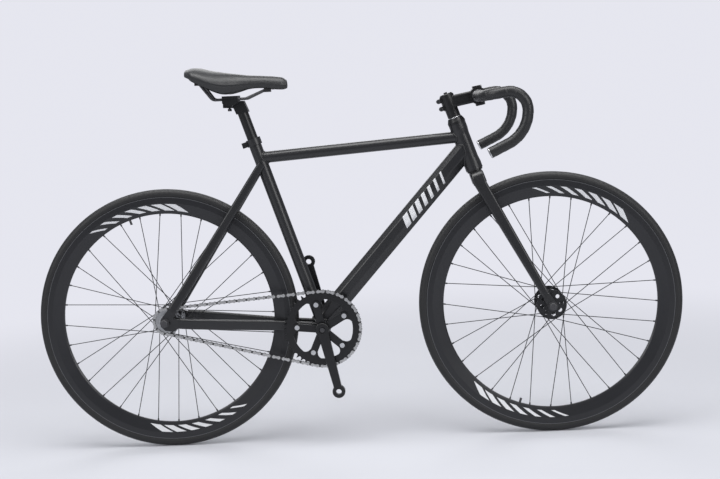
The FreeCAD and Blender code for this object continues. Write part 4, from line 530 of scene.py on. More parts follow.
@dataclass(frozen=True)
class RimFinish(Finish):
    """An anodised rim with a finely ringed brake track and a painted highlight line at its edge."""

    centre: tuple[float, float] = (0.0, 0.0)
    track: tuple[float, float] = (0.3025, 0.3165)
    track_edge: float = 0.3 * MM
    track_shade: float = 0.7
    highlight_width: float = 0.9 * MM
    pitch: float = 0.5 * MM
    ring_height: float = 0.3
    # Painted highlight: a pale line just inside the rim's edge, next to the tyre
    painted_edge_highlight: Colour = (0.11, 0.112, 0.12)
    marks: Colour = (0.72, 0.725, 0.74)
    mark_start: float = 0.0
    mark_span: float = math.radians(52)
    mark_band: tuple[float, float] = (0.2825, 0.2995)
    mark_edge: float = 0.15 * MM
    mark_slant: float = 7.0
    mark_count: int = 7

    def band(self, sheet: NodeSheet) -> Signal:
        """One on the brake track and nought elsewhere."""
        return sheet.radius(self.centre).within(self.track, self.track_edge)

    def painted(self, sheet: NodeSheet) -> Signal:
        """One on the two groups of slanted bars, half a turn apart, and nought elsewhere.

        Args:
            sheet: The material's nodes.

        Returns:
            The share of the bars' colour.
        """
        radius = sheet.radius(self.centre)
        ring = radius.within(self.mark_band, self.mark_edge)
        turn = sheet.turn(self.centre) - radius * self.mark_slant
        start = self.mark_start - self.mark_band[0] * self.mark_slant
        along = (turn - start).folded(math.pi)
        return sheet.bars(along, self.mark_span, self.mark_count) * ring

    def tint(self, sheet: NodeSheet) -> Signal:
        """The anodised colour, darker on the track, with a painted highlight at its edge and pale
        on the bars.

        Args:
            sheet: The material's nodes.

        Returns:
            The colour over the surface.
        """
        plain = Finish.tint(self, sheet)
        metal = sheet.blend(self.band(sheet) * self.track_shade, plain, self.shade)
        rim = self.track[1]
        # Painted highlight line just inside the rim's outer edge
        line = sheet.radius(self.centre).between(rim - self.highlight_width, rim - self.track_edge)
        with_edge_highlight = sheet.blend(line, metal, self.painted_edge_highlight)
        return sheet.blend(self.painted(sheet), with_edge_highlight, self.marks)

    def height(self, sheet: NodeSheet) -> Signal:
        """The grain, with turned rings on the track."""
        rings = (sheet.radius(self.centre) * (TURN / self.pitch)).sine() * self.ring_height
        return sheet.noise(self.grain) + rings * self.band(sheet)


@dataclass(frozen=True)
class TubePaint(Finish):
    """Frame paint with a group of slanted pale bars along one tube."""

    start: tuple[float, float] = (0.0, 0.0)
    along: tuple[float, float] = (1.0, 0.0)
    span: tuple[float, float] = (0.0, 1.0)
    marks: Colour = (0.7, 0.705, 0.72)
    slant: float = 0.55
    count: int = 7
    half: float = 14 * MM
    edge: float = 0.2 * MM

    def tint(self, sheet: NodeSheet) -> Signal:
        """The paint, pale on the bars of the tube's side faces.

        Args:
            sheet: The material's nodes.

        Returns:
            The colour over the surface.
        """
        x, z = sheet.offsets(self.start)
        way = x * self.along[0] + z * self.along[1]
        rise = z * self.along[0] - x * self.along[1]
        side = 1.0 - rise.size().between(self.half - self.edge, self.half)
        low, high = self.span
        bars = sheet.bars(way - rise * self.slant - low, high - low, self.count)
        return sheet.blend(bars * side, Finish.tint(self, sheet), self.marks)


@dataclass(frozen=True)
class ChainFinish(Finish):
    """A chain: bright outer plates, with oil and painted shade on the rollers and plates between
    them.
    """

    line: float = -43 * MM
    plate: float = 2.8 * MM
    edge: float = 0.1 * MM
    # Oil colour with painted shade, darkening the rollers and inner plates between the outer plates
    oil_and_recess_shade: Colour = (0.02, 0.0198, 0.0195)

    def tint(self, sheet: NodeSheet) -> Signal:
        """The steel, with oil and painted shade within the outer plates."""
        # Painted shade with oil: everything within the outer plates takes the dark colour
        outer = (sheet.axis("Y") - self.line).size().above(self.plate, self.edge)
        return sheet.blend(outer, self.oil_and_recess_shade, Finish.tint(self, sheet))


@dataclass(frozen=True)
class LeatherFinish(Finish):
    """Leather or grained tape: rounded cells with fine creases between them."""

    cell: float = 900.0
    cell_height: float = 0.8
    grain_height: float = 0.3

    def height(self, sheet: NodeSheet) -> Signal:
        """Cells that fall off towards their borders, over a fine grain."""
        cells = (1.0 - sheet.cells(self.cell)) * self.cell_height
        return cells + sheet.noise(self.grain, detail=3.0) * self.grain_height


@dataclass(frozen=True)
class RubberFinish(Finish):
    """Tyre rubber: scuffed tread, with moulded lines round the side walls."""

    centre: tuple[float, float] = (0.0, 0.0)
    tread: float = 0.3315
    wear: float = 4 * MM
    dust: Colour = (0.08, 0.0805, 0.083)
    dust_patch: float = 60.0
    dust_share: float = 0.5
    wall: tuple[float, float] = (5 * MM, 3 * MM)
    pitch: float = 0.9 * MM
    line_height: float = 0.3

    def tint(self, sheet: NodeSheet) -> Signal:
        """The rubber's black, greyer where the tread meets the road.

        Args:
            sheet: The material's nodes.

        Returns:
            The colour over the surface.
        """
        worn = sheet.radius(self.centre).between(self.tread, self.tread + self.wear)
        share = worn * sheet.noise(self.dust_patch, detail=4.0) * self.dust_share
        return sheet.blend(share, Finish.tint(self, sheet), self.dust)

    def height(self, sheet: NodeSheet) -> Signal:
        """Moulded lines on the side walls over a fine grain.

        Args:
            sheet: The material's nodes.

        Returns:
            The height over the surface.
        """
        radius = sheet.radius(self.centre)
        wall = 1.0 - radius.between(self.tread - self.wall[0], self.tread - self.wall[1])
        lines = (radius * (TURN / self.pitch)).sine() * self.line_height * wall
        return sheet.noise(self.grain, detail=3.0) + lines


REAR_AXLE = (-0.4925, 0.337)
FRONT_AXLE = (0.4925, 0.337)

FRAME_PAINT = Finish(
    "frame_paint", (0.0105, 0.0108, 0.0125), (0.008, 0.0083, 0.0095), 0.36, spread=0.08, patch=9.0,
    grain=700.0, depth=0.012 * MM, coat=0.15,
)
BLACK_ANODISED = Finish(
    "black_anodised", (0.012, 0.0123, 0.0135), (0.008, 0.0083, 0.009), 0.33, grain=2600.0,
    depth=0.02 * MM, metallic=0.25,
)
CRANK_BLACK = Finish(
    "crank_black", (0.0095, 0.0096, 0.0107), (0.0062, 0.0063, 0.0071), 0.3, grain=2200.0,
    depth=0.02 * MM, metallic=0.2,
)
GREY_BAR = Finish(
    "grey_bar", (0.16, 0.165, 0.17), (0.11, 0.113, 0.12), 0.36, grain=2400.0, depth=0.02 * MM,
    metallic=0.9,
)
DOWN_TUBE_PAINT = TubePaint(
    "down_tube_paint", FRAME_PAINT.colour, FRAME_PAINT.shade, 0.36, spread=0.08, patch=9.0,
    grain=700.0, depth=0.012 * MM, coat=0.15, start=(-0.0929441, 0.316),
    along=(0.6709, 0.7415), span=(0.33, 0.5),
)
CHAIN_STEEL = ChainFinish(
    "chain_steel", (0.6, 0.6, 0.6), (0.34, 0.34, 0.34), 0.28, spread=0.2, patch=160.0, grain=2600.0,
    depth=0.02 * MM, metallic=0.85,
)
BOLT_STEEL = Finish(
    "bolt_steel", (0.72, 0.73, 0.74), (0.5, 0.505, 0.515), 0.24, patch=120.0, grain=2600.0,
    depth=0.015 * MM, metallic=1.0,
)
DARK_STEEL = Finish(
    "dark_steel", (0.045, 0.046, 0.049), (0.028, 0.0285, 0.031), 0.36, patch=90.0, grain=2600.0,
    depth=0.015 * MM, metallic=0.6,
)
SPOKE_STEEL = Finish(
    "spoke_steel", (0.022, 0.0223, 0.024), (0.013, 0.0132, 0.0145), 0.38, patch=40.0, grain=3000.0,
    depth=0.01 * MM, metallic=0.4,
)
PLUG_ALLOY = Finish(
    "plug_alloy", (0.74, 0.745, 0.76), (0.6, 0.605, 0.62), 0.22, patch=80.0, grain=2600.0,
    depth=0.01 * MM, metallic=1.0,
)
SADDLE_LEATHER = LeatherFinish(
    "saddle_leather", (0.023, 0.0236, 0.025), (0.017, 0.0175, 0.0188), 0.42, spread=0.14,
    patch=22.0, grain=2600.0, depth=0.12 * MM, cell=620.0,
)
SADDLE_PLASTIC = Finish(
    "saddle_plastic", (0.01, 0.01, 0.011), (0.007, 0.007, 0.0078), 0.45, grain=1800.0,
    depth=0.05 * MM,
)
BAR_TAPE = LeatherFinish(
    "bar_tape", (0.0135, 0.0138, 0.015), (0.0095, 0.0098, 0.0108), 0.4, spread=0.12, patch=30.0,
    grain=2400.0, depth=0.09 * MM, cell=760.0,
)

SPROCKET_STEEL = TurnedFinish(
    "sprocket_steel", (0.5, 0.505, 0.515), (0.3, 0.305, 0.31), 0.3, patch=90.0, grain=2400.0,
    metallic=1.0, centre=REAR_AXLE,
)

# Colour, shade and metal share of the two hubs
BLACK_HUB = ((0.03, 0.0305, 0.033), (0.02, 0.0205, 0.022), 0.5)
SILVER_HUB = ((0.7, 0.705, 0.715), (0.5, 0.505, 0.515), 1.0)

CAD_FINISHES: dict[Finish, tuple[str, ...]] = {
    FRAME_PAINT: (
        "head_tube", "top_tube", "seat_tube", "bottom_bracket_shell", "chain_stay_right",
        "chain_stay_left", "seat_stay_right", "seat_stay_left", "track_ends", "stay_bridges",
        "seat_clamp", "fork_crown", "fork_blade_right", "fork_blade_left", "fork_ends",
    ),
    BLACK_ANODISED: (
        "headset_covers", "top_cap", "stem", "stem_faceplate", "seatpost", "saddle_cradle",
        "saddle_clamp_plate", "steerer_tube",
    ),
    CRANK_BLACK: ("crank_arm_right", "crank_arm_left", "chainring"),
    GREY_BAR: ("handlebar",),
    PLUG_ALLOY: ("bar_end_plugs",),
    DOWN_TUBE_PAINT: ("down_tube",),
    CHAIN_STEEL: ("chain",),
    BOLT_STEEL: ("chainring_bolts", "bearing_cups", "front_hub_bearings", "rear_hub_bearings"),
    DARK_STEEL: (
        "rear_axle", "rear_axle_nuts", "front_axle", "front_axle_nuts", "stem_bolts",
        "saddle_clamp_bolt", "saddle_rails", "front_nipples", "rear_nipples", "front_valve",
        "rear_valve", "bb_spindle",
    ),
    SPOKE_STEEL: ("front_spokes", "rear_spokes"),
    SADDLE_PLASTIC: ("saddle_shell",),
    SPROCKET_STEEL: ("sprocket", "lockring"),
}


# Sub-assemblies


@dataclass(frozen=True)
class Lamp:
    """A soft rectangular lamp: its name, place, width, height and power in watts."""

    name: str
    place: tuple[float, float, float]
    width: float
    height: float
    power: float


@dataclass
class Studio:
    """Camera, floor and lamps."""

    eye: tuple[float, float, float] = (0.13064, -3.2, 0.90232)
    right: tuple[float, float, float] = (0.99832111, 0.03122341, -0.04878587)
    ahead: tuple[float, float, float] = (-0.03681139, 0.99230756, -0.1181974)
    up: tuple[float, float, float] = (0.04472006, 0.11979484, 0.99179096)
    lens: float = 62.836
    sensor: float = 36.0
    clip: float = 200.0
    floor_reach: float = 40.0
    floor_fade: tuple[float, float] = (0.7, 2.6)
    sky: Colour = (0.79, 0.795, 0.865)
    floor_tones: tuple[Colour, Colour] = ((0.55, 0.558, 0.595), (0.57, 0.578, 0.615))
    floor_mottle: float = 1.5
    floor_roughness: float = 0.7
    floor_specular: float = 0.12
    ambient: float = 0.3
    ambient_tone: Colour = (0.9, 0.92, 1.0)
    aim: tuple[float, float, float] = (0.0, 0.0, 0.45)
    lamps: tuple[Lamp, ...] = (
        Lamp("top", (0.0, -0.5, 3.0), 3.6, 1.6, 96.0),
        Lamp("key", (3.0, -3.3, 2.2), 2.2, 2.6, 70.0),
        Lamp("fill", (-3.4, -2.9, 2.2), 2.2, 2.4, 62.0),
        Lamp("back", (-0.4, 2.8, 2.2), 3.0, 1.4, 30.0),
    )

    def camera(self) -> None:
        """Set the camera where the photograph was taken from."""
        data = bpy.data.cameras.new("camera")
        data.lens, data.sensor_width, data.clip_end = self.lens, self.sensor, self.clip
        camera = bpy.data.objects.new("camera", data)
        bpy.context.scene.collection.objects.link(camera)
        columns = np.array([self.right, self.up, [-part for part in self.ahead], self.eye]).T
        camera.matrix_world = Matrix([*columns.tolist(), [0, 0, 0, 1]])
        bpy.context.scene.camera = camera

    def floor(self) -> None:
        """Lay a wide pale floor that fades into the backdrop away from the bike."""
        corners = np.array([(-1, -1, 0), (1, -1, 0), (1, 1, 0), (-1, 1, 0)])
        floor = mesh_piece("floor", corners * self.floor_reach, [[0, 1, 2, 3]])
        sheet = NodeSheet(bpy.data.materials.new("floor"))
        tone = sheet.blend(sheet.noise(self.floor_mottle), *self.floor_tones)
        sheet.shade(
            Base_Color=tone, Roughness=self.floor_roughness, Specular_IOR_Level=self.floor_specular
        )
        x, y = sheet.axis("X"), sheet.axis("Y")
        away = (x * x + y * y) ** 0.5
        far = away.between(*self.floor_fade) * sheet.seen()
        glow = sheet.node("ShaderNodeEmission", {}, {"Color": self.sky})
        lit = Signal(sheet, sheet.shader.outputs[0])
        mixed = sheet.node("ShaderNodeMixShader", {}, {0: far, 1: lit, 2: glow})
        sheet.feed(sheet.tree.nodes["Material Output"].inputs["Surface"], mixed)
        floor.data.materials.append(sheet.owner)

    def world(self) -> None:
        """Light the scene softly from all round, before a pale backdrop."""
        world = bpy.data.worlds.new("studio")
        bpy.context.scene.world = world
        sheet = NodeSheet(world)
        backdrop = sheet.node("ShaderNodeBackground", {}, {"Color": self.sky, "Strength": 1.0})
        ambient = {"Color": self.ambient_tone, "Strength": self.ambient}
        light = sheet.node("ShaderNodeBackground", {}, ambient)
        mixed = sheet.node("ShaderNodeMixShader", {}, {0: sheet.seen(), 1: light, 2: backdrop})
        sheet.feed(sheet.tree.nodes["World Output"].inputs["Surface"], mixed)

    def lights(self) -> None:
        """Hang large soft lamps that all look at the middle of the bike."""
        nearly_up = np.array([0.0, 0.02, 1.0])
        for lamp in self.lamps:
            data = bpy.data.lights.new(lamp.name, "AREA")
            data.shape, data.energy = "RECTANGLE", lamp.power
            data.size, data.size_y = lamp.width, lamp.height
            piece = bpy.data.objects.new(lamp.name, data)
            bpy.context.scene.collection.objects.link(piece)
            back = unit(np.array(lamp.place) - np.array(self.aim))
            across = unit(np.cross(nearly_up, back))
            columns = np.array([across, np.cross(back, across), back, lamp.place]).T
            piece.matrix_world = Matrix([*columns.tolist(), [0, 0, 0, 1]])

    def build(self) -> None:
        """Set up everything round the bike."""
        self.camera()
        self.floor()
        self.world()
        self.lights()
        bpy.context.scene.view_settings.view_transform = "Standard"


@dataclass
class FrameTube:
    """A straight tube: its two ends and the offsets of its outline."""

    start: Array
    end: Array
    outline: Array

    def meet(self, end: Array, axis_place: Array, axis: Array, radius: float) -> Array:
        """Where the tube's lines meet a round tube at one of its ends.

        Each line begins two radii in from that end. A line p + t d is at the radius r from the axis
        where the parts of p and d that are square to the axis, q and e, give |q + t e| = r: the
        nearer root of a quadratic in t.

        Args:
            end: The end that is joined.
            axis_place: A place on the round tube's axis.
            axis: The direction of that axis.
            radius: The round tube's radius.

        Returns:
            One place for each line of the outline.
        """
        along = unit(self.end - self.start)
        inwards = unit((self.start + self.end) / 2 - end)
        base = end + inwards * 2 * radius + self.outline
        square = np.eye(3) - np.outer(axis, axis)
        q, e = (base - axis_place) @ square, along @ square
        b, c = q @ e, np.sum(q * q, axis=1) - radius**2
        root = np.sqrt(np.maximum(b**2 - (e @ e) * c, 0.0))
        first, second = (-b - root) / (e @ e), (-b + root) / (e @ e)
        t = np.where(np.abs(first) < np.abs(second), first, second)
        return base + t[:, None] * along


@dataclass
class Frame:
    """The welded frame: its tubes meet in rippled weld beads."""

    bracket: tuple[float, float, float] = (-0.0929441, 0.0, 0.301)
    seat_lean: float = 17.6
    head_radius: float = 20.4 * MM
    seat_radius: float = 15.9 * MM
    shell_radius: float = 20.5 * MM
    top_radius: float = 14.6 * MM
    top_at_seat: float = 463 * MM
    top_at_head: float = 479.3 * MM
    down_at_head: float = 448.3 * MM
    down_rise: float = 15 * MM
    seat_length: float = 515 * MM
    bead: float = 2.3 * MM
    ripple: float = 0.3 * MM
    ripple_length: float = 3.2 * MM
    bead_step: float = 0.7 * MM
    least_steps: int = 24
    crease_radius: float = 5.5 * MM
    outline_step: float = 1.0 * MM
    samples: int = 160
    around: int = 12

    def round_outline(self, along: Array, radius: float) -> Array:
        """Offsets of a circle square to a direction.

        Args:
            along: The direction.
            radius: The circle's radius.

        Returns:
            One offset for each sample.
        """
        up = np.cross(ACROSS, along)
        angle = np.linspace(0, TURN, self.samples, endpoint=False)[:, None]
        return radius * (np.cos(angle) * up + np.sin(angle) * ACROSS)

    def shield_outline(self, along: Array) -> Array:
        """Offsets of the down tube's creased section, its eight corners rounded.

        Args:
            along: The tube's direction.

        Returns:
            The offsets in order round the section.
        """
        half = np.array([(-25, 6), (-7, 19.5), (13, 19.5), (25, 9)]) * MM
        ring = np.vstack([half, half[::-1] * [1, -1]])
        middle = (ring[0] + ring[-1]) / 2
        flat = np.vstack([middle, ring, middle])
        corners, radii = np.c_[flat, np.zeros(len(flat))], [self.crease_radius] * len(ring)
        line = rounded_line(corners, radii, self.outline_step)[:-1]
        up = np.array([-along[2], 0.0, along[0]])
        return line[:, :1] * up + line[:, 1:2] * ACROSS

    def weld(self, line: Array, middle: Array) -> Array:
        """A bead along a closed line: r = bead + ripple |sin| of the length, round each place.

        Args:
            line: Places along the line.
            middle: A place within it.

        Returns:
            The bead's places, ring by ring.
        """
        step = np.roll(line, -1, 0) - line
        length = np.cumsum(np.linalg.norm(step, axis=1))
        scales = np.abs(np.sin(math.pi * length / self.ripple_length))
        radius = np.repeat((self.bead + self.ripple * scales)[:, None], self.around, axis=1)
        return tube(line, radius, line - middle, closed=True)

    def resample(self, line: Array) -> Array:
        """Places at even distances along a closed line, by straight shares between its own.

        Args:
            line: Places along the line.

        Returns:
            The even places.
        """
        whole = np.vstack([line, line[:1]])
        length = np.r_[0, np.cumsum(np.linalg.norm(np.diff(whole, axis=0), axis=1))]
        count = max(int(length[-1] / self.bead_step), self.least_steps)
        at = np.linspace(0, length[-1], count, endpoint=False)
        return np.stack([np.interp(at, length, whole[:, part]) for part in range(3)], axis=-1)

    def build(self) -> None:
        """Lay the beads where the tubes meet."""
        bracket, seat_up, head_up = np.array(self.bracket), lean(self.seat_lean), lean(HEAD_LEAN)
        top_start = bracket + seat_up * self.top_at_seat
        top_end = HEAD_FOOT + head_up * self.top_at_head
        down_start = bracket + np.array([0.0, 0.0, self.down_rise])
        down_end = HEAD_FOOT + head_up * self.down_at_head
        seat_end = bracket + seat_up * self.seat_length
        round_top = self.round_outline(unit(top_end - top_start), self.top_radius)
        top = FrameTube(top_start, top_end, round_top)
        down = FrameTube(down_start, down_end, self.shield_outline(unit(down_end - down_start)))
        seat = FrameTube(bracket, seat_end, self.round_outline(seat_up, self.seat_radius))
        head = (HEAD_FOOT, head_up, self.head_radius)
        shell = (bracket, ACROSS, self.shell_radius)
        lines = [
            top.meet(top_end, *head),
            top.meet(top_start, bracket, seat_up, self.seat_radius),
            down.meet(down_end, *head),
            down.meet(down_start, *shell),
            seat.meet(bracket, *shell),
        ]
        beads = [self.weld(self.resample(line), line.mean(0)) for line in lines]
        place_piece(closed_grid("frame_welds", beads), Body.FRAME, "black_frame", FRAME_PAINT)


@dataclass
class Tyre:
    """A tyre with a slanted tread on its shoulders, closed round inside the rim."""

    node: str
    body: Body
    axle: tuple[float, float]
    radius: float = 337 * MM
    width: float = 25 * MM
    casing: float = 3 * MM
    bead_radius: float = 309.3 * MM
    bead_half: float = 9.7 * MM
    rim_radius: float = 317 * MM
    repeats: int = 160
    per_repeat: int = 8
    across: int = 53
    groove: float = 0.7 * MM
    slant: float = 5.0
    band_at: float = 0.58
    band_width: float = 0.22
    crown_width: float = 0.05
    crown_share: float = 0.5

    def section(self) -> tuple[Array, Array]:
        """The outer skin's half-round: radius and side as functions of the angle over the crown.

        Returns:
            Radius from the axle and place to the side, along the section.
        """
        half = self.width / 2
        middle = self.radius - half
        low = math.asin((middle - self.rim_radius) / half)
        angle = np.linspace(-math.pi / 2 - low, math.pi / 2 + low, self.across)
        return middle + half * np.cos(angle), half * np.sin(angle)

    def grooves(self, turn: Array, side: Array) -> Array:
        """Depth of the tread: slanted cuts in two bands, each a power of a cosine.

        Args:
            turn: Angle round the wheel, one for each ring.
            side: Place across the tyre from -1 to 1, one for each column.

        Returns:
            The depth at each ring and column.
        """
        out = np.abs(side)
        phase = self.repeats * turn[:, None] - self.slant * out
        cuts = np.clip(np.cos(phase), 0, 1) ** 3
        band = np.exp(-(((out - self.band_at) / self.band_width) ** 4))
        crown = np.exp(-((out / self.crown_width) ** 4))
        return self.groove * (cuts * band + self.crown_share * crown)

    def build(self) -> None:
        """Carry the section round the axle: x = cx + r cos a, z = cz + r sin a, y = side."""
        turn = np.linspace(0, TURN, self.repeats * self.per_repeat, endpoint=False)
        radius, side = self.section()
        tread = self.grooves(turn, side / (self.width / 2))
        bead, inside = self.bead_radius, self.bead_half - self.casing
        inner_r = np.array([bead, bead, self.rim_radius, self.radius - self.casing])
        inner_y = np.array([self.bead_half, inside, inside, 0.0])
        back_r = np.r_[inner_r, inner_r[2::-1]]
        back_y = np.r_[inner_y, -inner_y[2::-1]]
        depth = np.hstack([tread, np.zeros((len(turn), len(back_r)))])
        rings = np.r_[radius, back_r][None] - depth
        sides = np.broadcast_to(np.r_[side, back_y], rings.shape)
        x = self.axle[0] + rings * np.cos(turn)[:, None]
        z = self.axle[1] + rings * np.sin(turn)[:, None]
        piece = closed_grid(f"{self.node}_tread", [np.stack([x, sides, z], axis=-1)])
        finish = RubberFinish(
            f"{self.node}_rubber", (0.0092, 0.0093, 0.0102), (0.0065, 0.0066, 0.0073), 0.55,
            spread=0.12, patch=18.0, grain=1800.0, depth=0.06 * MM, centre=self.axle,
        )
        place_piece(piece, self.body, "tyre_rubber", finish, self.node)


@dataclass
class BarTape:
    """Tape wound round one half of the drop bar."""

    side: Side
    centre: tuple[float, float, float] = (0.3269256, 0.0, 0.8733836)
    half_width: float = 210 * MM
    reach: float = 104 * MM
    drop: float = 135 * MM
    setback: float = 12 * MM
    ramp: float = math.tan(math.radians(8))
    fall: float = math.tan(math.radians(25))
    radii: tuple[float, ...] = (50 * MM, 44 * MM, 85 * MM)
    start: float = 48 * MM
    bar_radius: float = 11.9 * MM
    low: float = 13.0 * MM
    step: float = 0.55 * MM
    pitch: float = 21 * MM
    edge_share: float = 0.07
    band: float = 20 * MM
    band_edge: float = 0.8 * MM
    band_rise: float = 1.15
    spacing: float = 0.75 * MM
    core_step: int = 8
    around: int = 40

    def path(self) -> Array:
        """The bar's middle line from the edge of the tape to the bar's end.

        Returns:
            Places along the line.
        """
        y = self.side.value * self.half_width
        reach, drop = self.reach, self.drop
        corners = np.array(
            [
                (0, self.side.value * self.start, 0),
                (0, y, 0),
                (reach, y, reach * self.ramp),
                (reach, y, (reach - self.setback) * self.fall - drop),
                (self.setback, y, -drop),
            ]
        )
        return rounded_line(corners + np.array(self.centre), list(self.radii), self.spacing)

    def thickness(self, length: Array) -> Array:
        """Radius of the winding: it rises across each turn and steps down at the strip's edge.

        The share of a turn is the length over the pitch plus the angle over a whole turn, less its
        whole part. The radius is low + step times that share, eased at the edge. A plain band ends
        the winding near the stem.

        Args:
            length: The way along the bar, one for each ring.

        Returns:
            The radius of each ring at each of its angles.
        """
        angle = np.linspace(0, 1, self.around, endpoint=False)
        share = np.mod(length[:, None] / self.pitch + self.side.value * angle, 1.0)
        eased = np.minimum(share, np.clip((1.0 - share) / self.edge_share, 0, 1))
        wound = self.low + self.step * eased
        band = np.clip((self.band - length) / self.band_edge, 0, 1)[:, None]
        return wound * (1 - band) + (self.low + self.band_rise * self.step) * band

    def build(self) -> None:
        """Carry the winding along the bar and close it inside against the bar."""
        line = self.path()
        length = np.r_[0, np.cumsum(np.linalg.norm(np.diff(line, axis=0), axis=1))]
        guide = np.array([0.0, -self.side.value, 1.0])
        outer = tube(line, self.thickness(length), guide)
        core = line[:: -self.core_step]
        inner = tube(core[::-1], np.full((len(core), self.around), self.bar_radius), guide)[::-1]
        name = self.side.name.lower()
        piece = closed_grid(f"wound_tape_{name}", [np.vstack([outer, inner])])
        place_piece(piece, Body.BARS, "tape", BAR_TAPE, f"bar_tape_{name}")


@dataclass
class Saddle:
    """The padded cover, drawn tight over its shell, as rings from tail to nose."""

    level: tuple[float, float, float] = (-0.2977613, 0.0, 0.894008)
    length: float = 258 * MM
    width: float = 140 * MM
    height: float = 83 * MM
    rear_reach: float = 113 * MM
    tuck: float = 6 * MM
    roll: float = 0.4
    side_curve: float = 1.6
    least_foot: float = 0.6
    dome_reach: float = 0.011
    rows: int = 110
    around: int = 72
    # Share of the length, then of width and of height: crown, widest edge, skirt and arch beneath
    stations: tuple[tuple[float, ...], ...] = (
        (0.012, 0.500, 0.945, 0.820, 0.720, 0.78),
        (0.062, 0.829, 0.990, 0.850, 0.651, 0.74),
        (0.140, 1.000, 0.988, 0.771, 0.506, 0.70),
        (0.256, 0.943, 0.898, 0.651, 0.313, 0.60),
        (0.384, 0.714, 0.819, 0.590, 0.157, 0.42),
        (0.500, 0.486, 0.759, 0.566, 0.193, 0.40),
        (0.616, 0.357, 0.705, 0.530, 0.283, 0.42),
        (0.767, 0.293, 0.663, 0.506, 0.289, 0.40),
        (0.903, 0.272, 0.616, 0.446, 0.229, 0.32),
        (0.965, 0.225, 0.570, 0.416, 0.229, 0.29),
        (0.990, 0.160, 0.510, 0.396, 0.250, 0.29),
    )

    def build(self) -> None:
        """Sections: an elliptic crown, sides that draw in to the skirt, and an arch beneath.

        With a from minus to plus a quarter turn, the upper half is y = w sin a and z = edge +
        (crown - edge) cos a. Below the widest edge y draws in by the tuck while z falls to the
        skirt, and the underside rises to the arch. The first and last rows shrink to close the
        tail and the nose.
        """
        table = np.array(self.stations)
        along = np.linspace(table[0, 0], table[-1, 0], self.rows)
        shares = smooth_through(table[:, 0], table[:, 1:], along).T[..., None]
        half = shares[0] * self.width / 2
        crown, edge, skirt, arch = shares[1:] * self.height
        edge = edge - self.roll * (edge - skirt)
        quarter = self.around // 4
        upper = np.linspace(-math.pi / 2, math.pi / 2, 2 * quarter, endpoint=False)
        y_top = half * np.sin(upper)
        z_top = edge + (crown - edge) * np.cos(upper)
        down = np.linspace(0, 1, quarter // 2, endpoint=False)
        foot = np.maximum(half - self.tuck, half * self.least_foot)
        y_side = half + (foot - half) * down**self.side_curve
        z_side = edge + (skirt - edge) * down
        under = np.linspace(0, math.pi, quarter, endpoint=False)
        y_low = foot * np.cos(under)
        z_low = skirt + np.maximum(arch - skirt, 0.0) * np.sin(under)
        y = np.hstack([y_top, y_side, y_low, -y_side[:, ::-1]])
        z = np.hstack([z_top, z_side, z_low, z_side[:, ::-1]])
        x = np.broadcast_to((along * self.length - self.rear_reach)[:, None], y.shape)
        grid = np.stack([x, y, z], axis=-1) + np.array(self.level)
        grid = np.concatenate([self.dome(grid[0], -1)[::-1], grid, self.dome(grid[-1], 1)])
        # Known fault: in this order of the rings the faces point inwards
        cover = capped_grid("saddle_padding", grid)
        place_piece(cover, Body.SADDLE, "saddle_skin", SADDLE_LEATHER, "saddle_cover")

    def dome(self, ring: Array, way: int, rows: int = 7) -> Array:
        """Rings that close an end: each is drawn to the middle by cos t and out along X by sin t.

        Args:
            ring: The end's last ring.
            way: The sign of X at that end.
            rows: The steps to the tip.

        Returns:
            The rings, outwards from the given one.
        """
        turn = np.linspace(0, math.pi / 2, rows + 1)[1:-1, None, None]
        middle = ring.mean(0)
        reach = way * self.dome_reach * self.length * np.array([1.0, 0.0, 0.0])
        return middle + (ring - middle) * np.cos(turn) + reach * np.sin(turn)


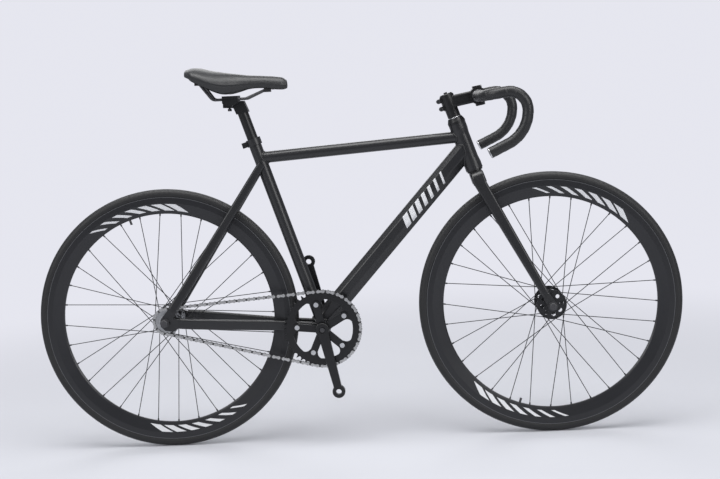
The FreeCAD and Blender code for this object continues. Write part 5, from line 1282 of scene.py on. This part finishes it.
@dataclass
class HeadsetRing:
    """The bright ring between the headset's cover and its spacer."""

    height: float = 531.5 * MM
    radius: float = 16.7 * MM
    thickness: float = 0.9 * MM
    steps: int = 96
    around: int = 12

    def build(self) -> None:
        """A ring: the round section carried round the steering axis."""
        turn = np.linspace(0, TURN, self.steps, endpoint=False)[:, None]
        up = lean(HEAD_LEAN)
        out = np.cos(turn) * np.cross(ACROSS, up) + np.sin(turn) * ACROSS
        middle = HEAD_FOOT + up * self.height + out * self.radius
        ring = tube(middle, np.full((self.steps, self.around), self.thickness), out, closed=True)
        place_piece(closed_grid("headset_ring", [ring]), Body.STEERING, "silver_alloy", PLUG_ALLOY)


@dataclass
class Wheel:
    """One wheel: its turned metal and its tyre."""

    name: str
    body: Body
    axle: tuple[float, float]
    mark_start: float
    hub_colour: Colour
    hub_shade: Colour
    hub_metallic: float

    def finishes(self) -> dict[Finish, tuple[str, ...]]:
        """The finishes that ring this wheel's own axle.

        Returns:
            The nodes of each finish.
        """
        rim = RimFinish(
            f"{self.name}_rim_black", (0.0195, 0.02, 0.023), (0.0138, 0.0142, 0.0163), 0.3,
            spread=0.06, patch=7.0, grain=1500.0, depth=0.015 * MM, metallic=0.15, centre=self.axle,
            mark_start=math.radians(self.mark_start),
        )
        hub = TurnedFinish(
            f"{self.name}_hub_metal", self.hub_colour, self.hub_shade, 0.27, patch=70.0,
            grain=2400.0, depth=0.02 * MM, metallic=self.hub_metallic, centre=self.axle,
        )
        return {rim: (f"{self.name}_rim",), hub: (f"{self.name}_hub_shell",)}

    def build(self) -> None:
        """Dress the wheel's solids and add its tyre."""
        dress(self.finishes())
        Tyre(f"{self.name}_tyre", self.body, self.axle).build()


def dress(finishes: dict[Finish, tuple[str, ...]]) -> None:
    """Give solids their finishes.

    Args:
        finishes: The node names of each finish.
    """
    for finish, nodes in finishes.items():
        material = finish.paint()
        for name in nodes:
            mesh = bpy.data.objects[name].data
            mesh.materials.clear()
            mesh.materials.append(material)
        LOG.info("%s on %d solids", finish.name, len(nodes))


def main() -> None:
    """Dress the bike piece by piece and set it in the studio."""
    logging.basicConfig(level=logging.INFO, format="%(name)s: %(message)s")
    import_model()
    Studio().build()
    dress(CAD_FINISHES)
    Frame().build()
    Wheel("front", Body.FRONT_WHEEL, FRONT_AXLE, 44.0, *BLACK_HUB).build()
    Wheel("rear", Body.REAR_WHEEL, REAR_AXLE, 76.0, *SILVER_HUB).build()
    for side in Side:
        BarTape(side).build()
    HeadsetRing().build()
    Saddle().build()


if __name__ == "__main__":
    main()
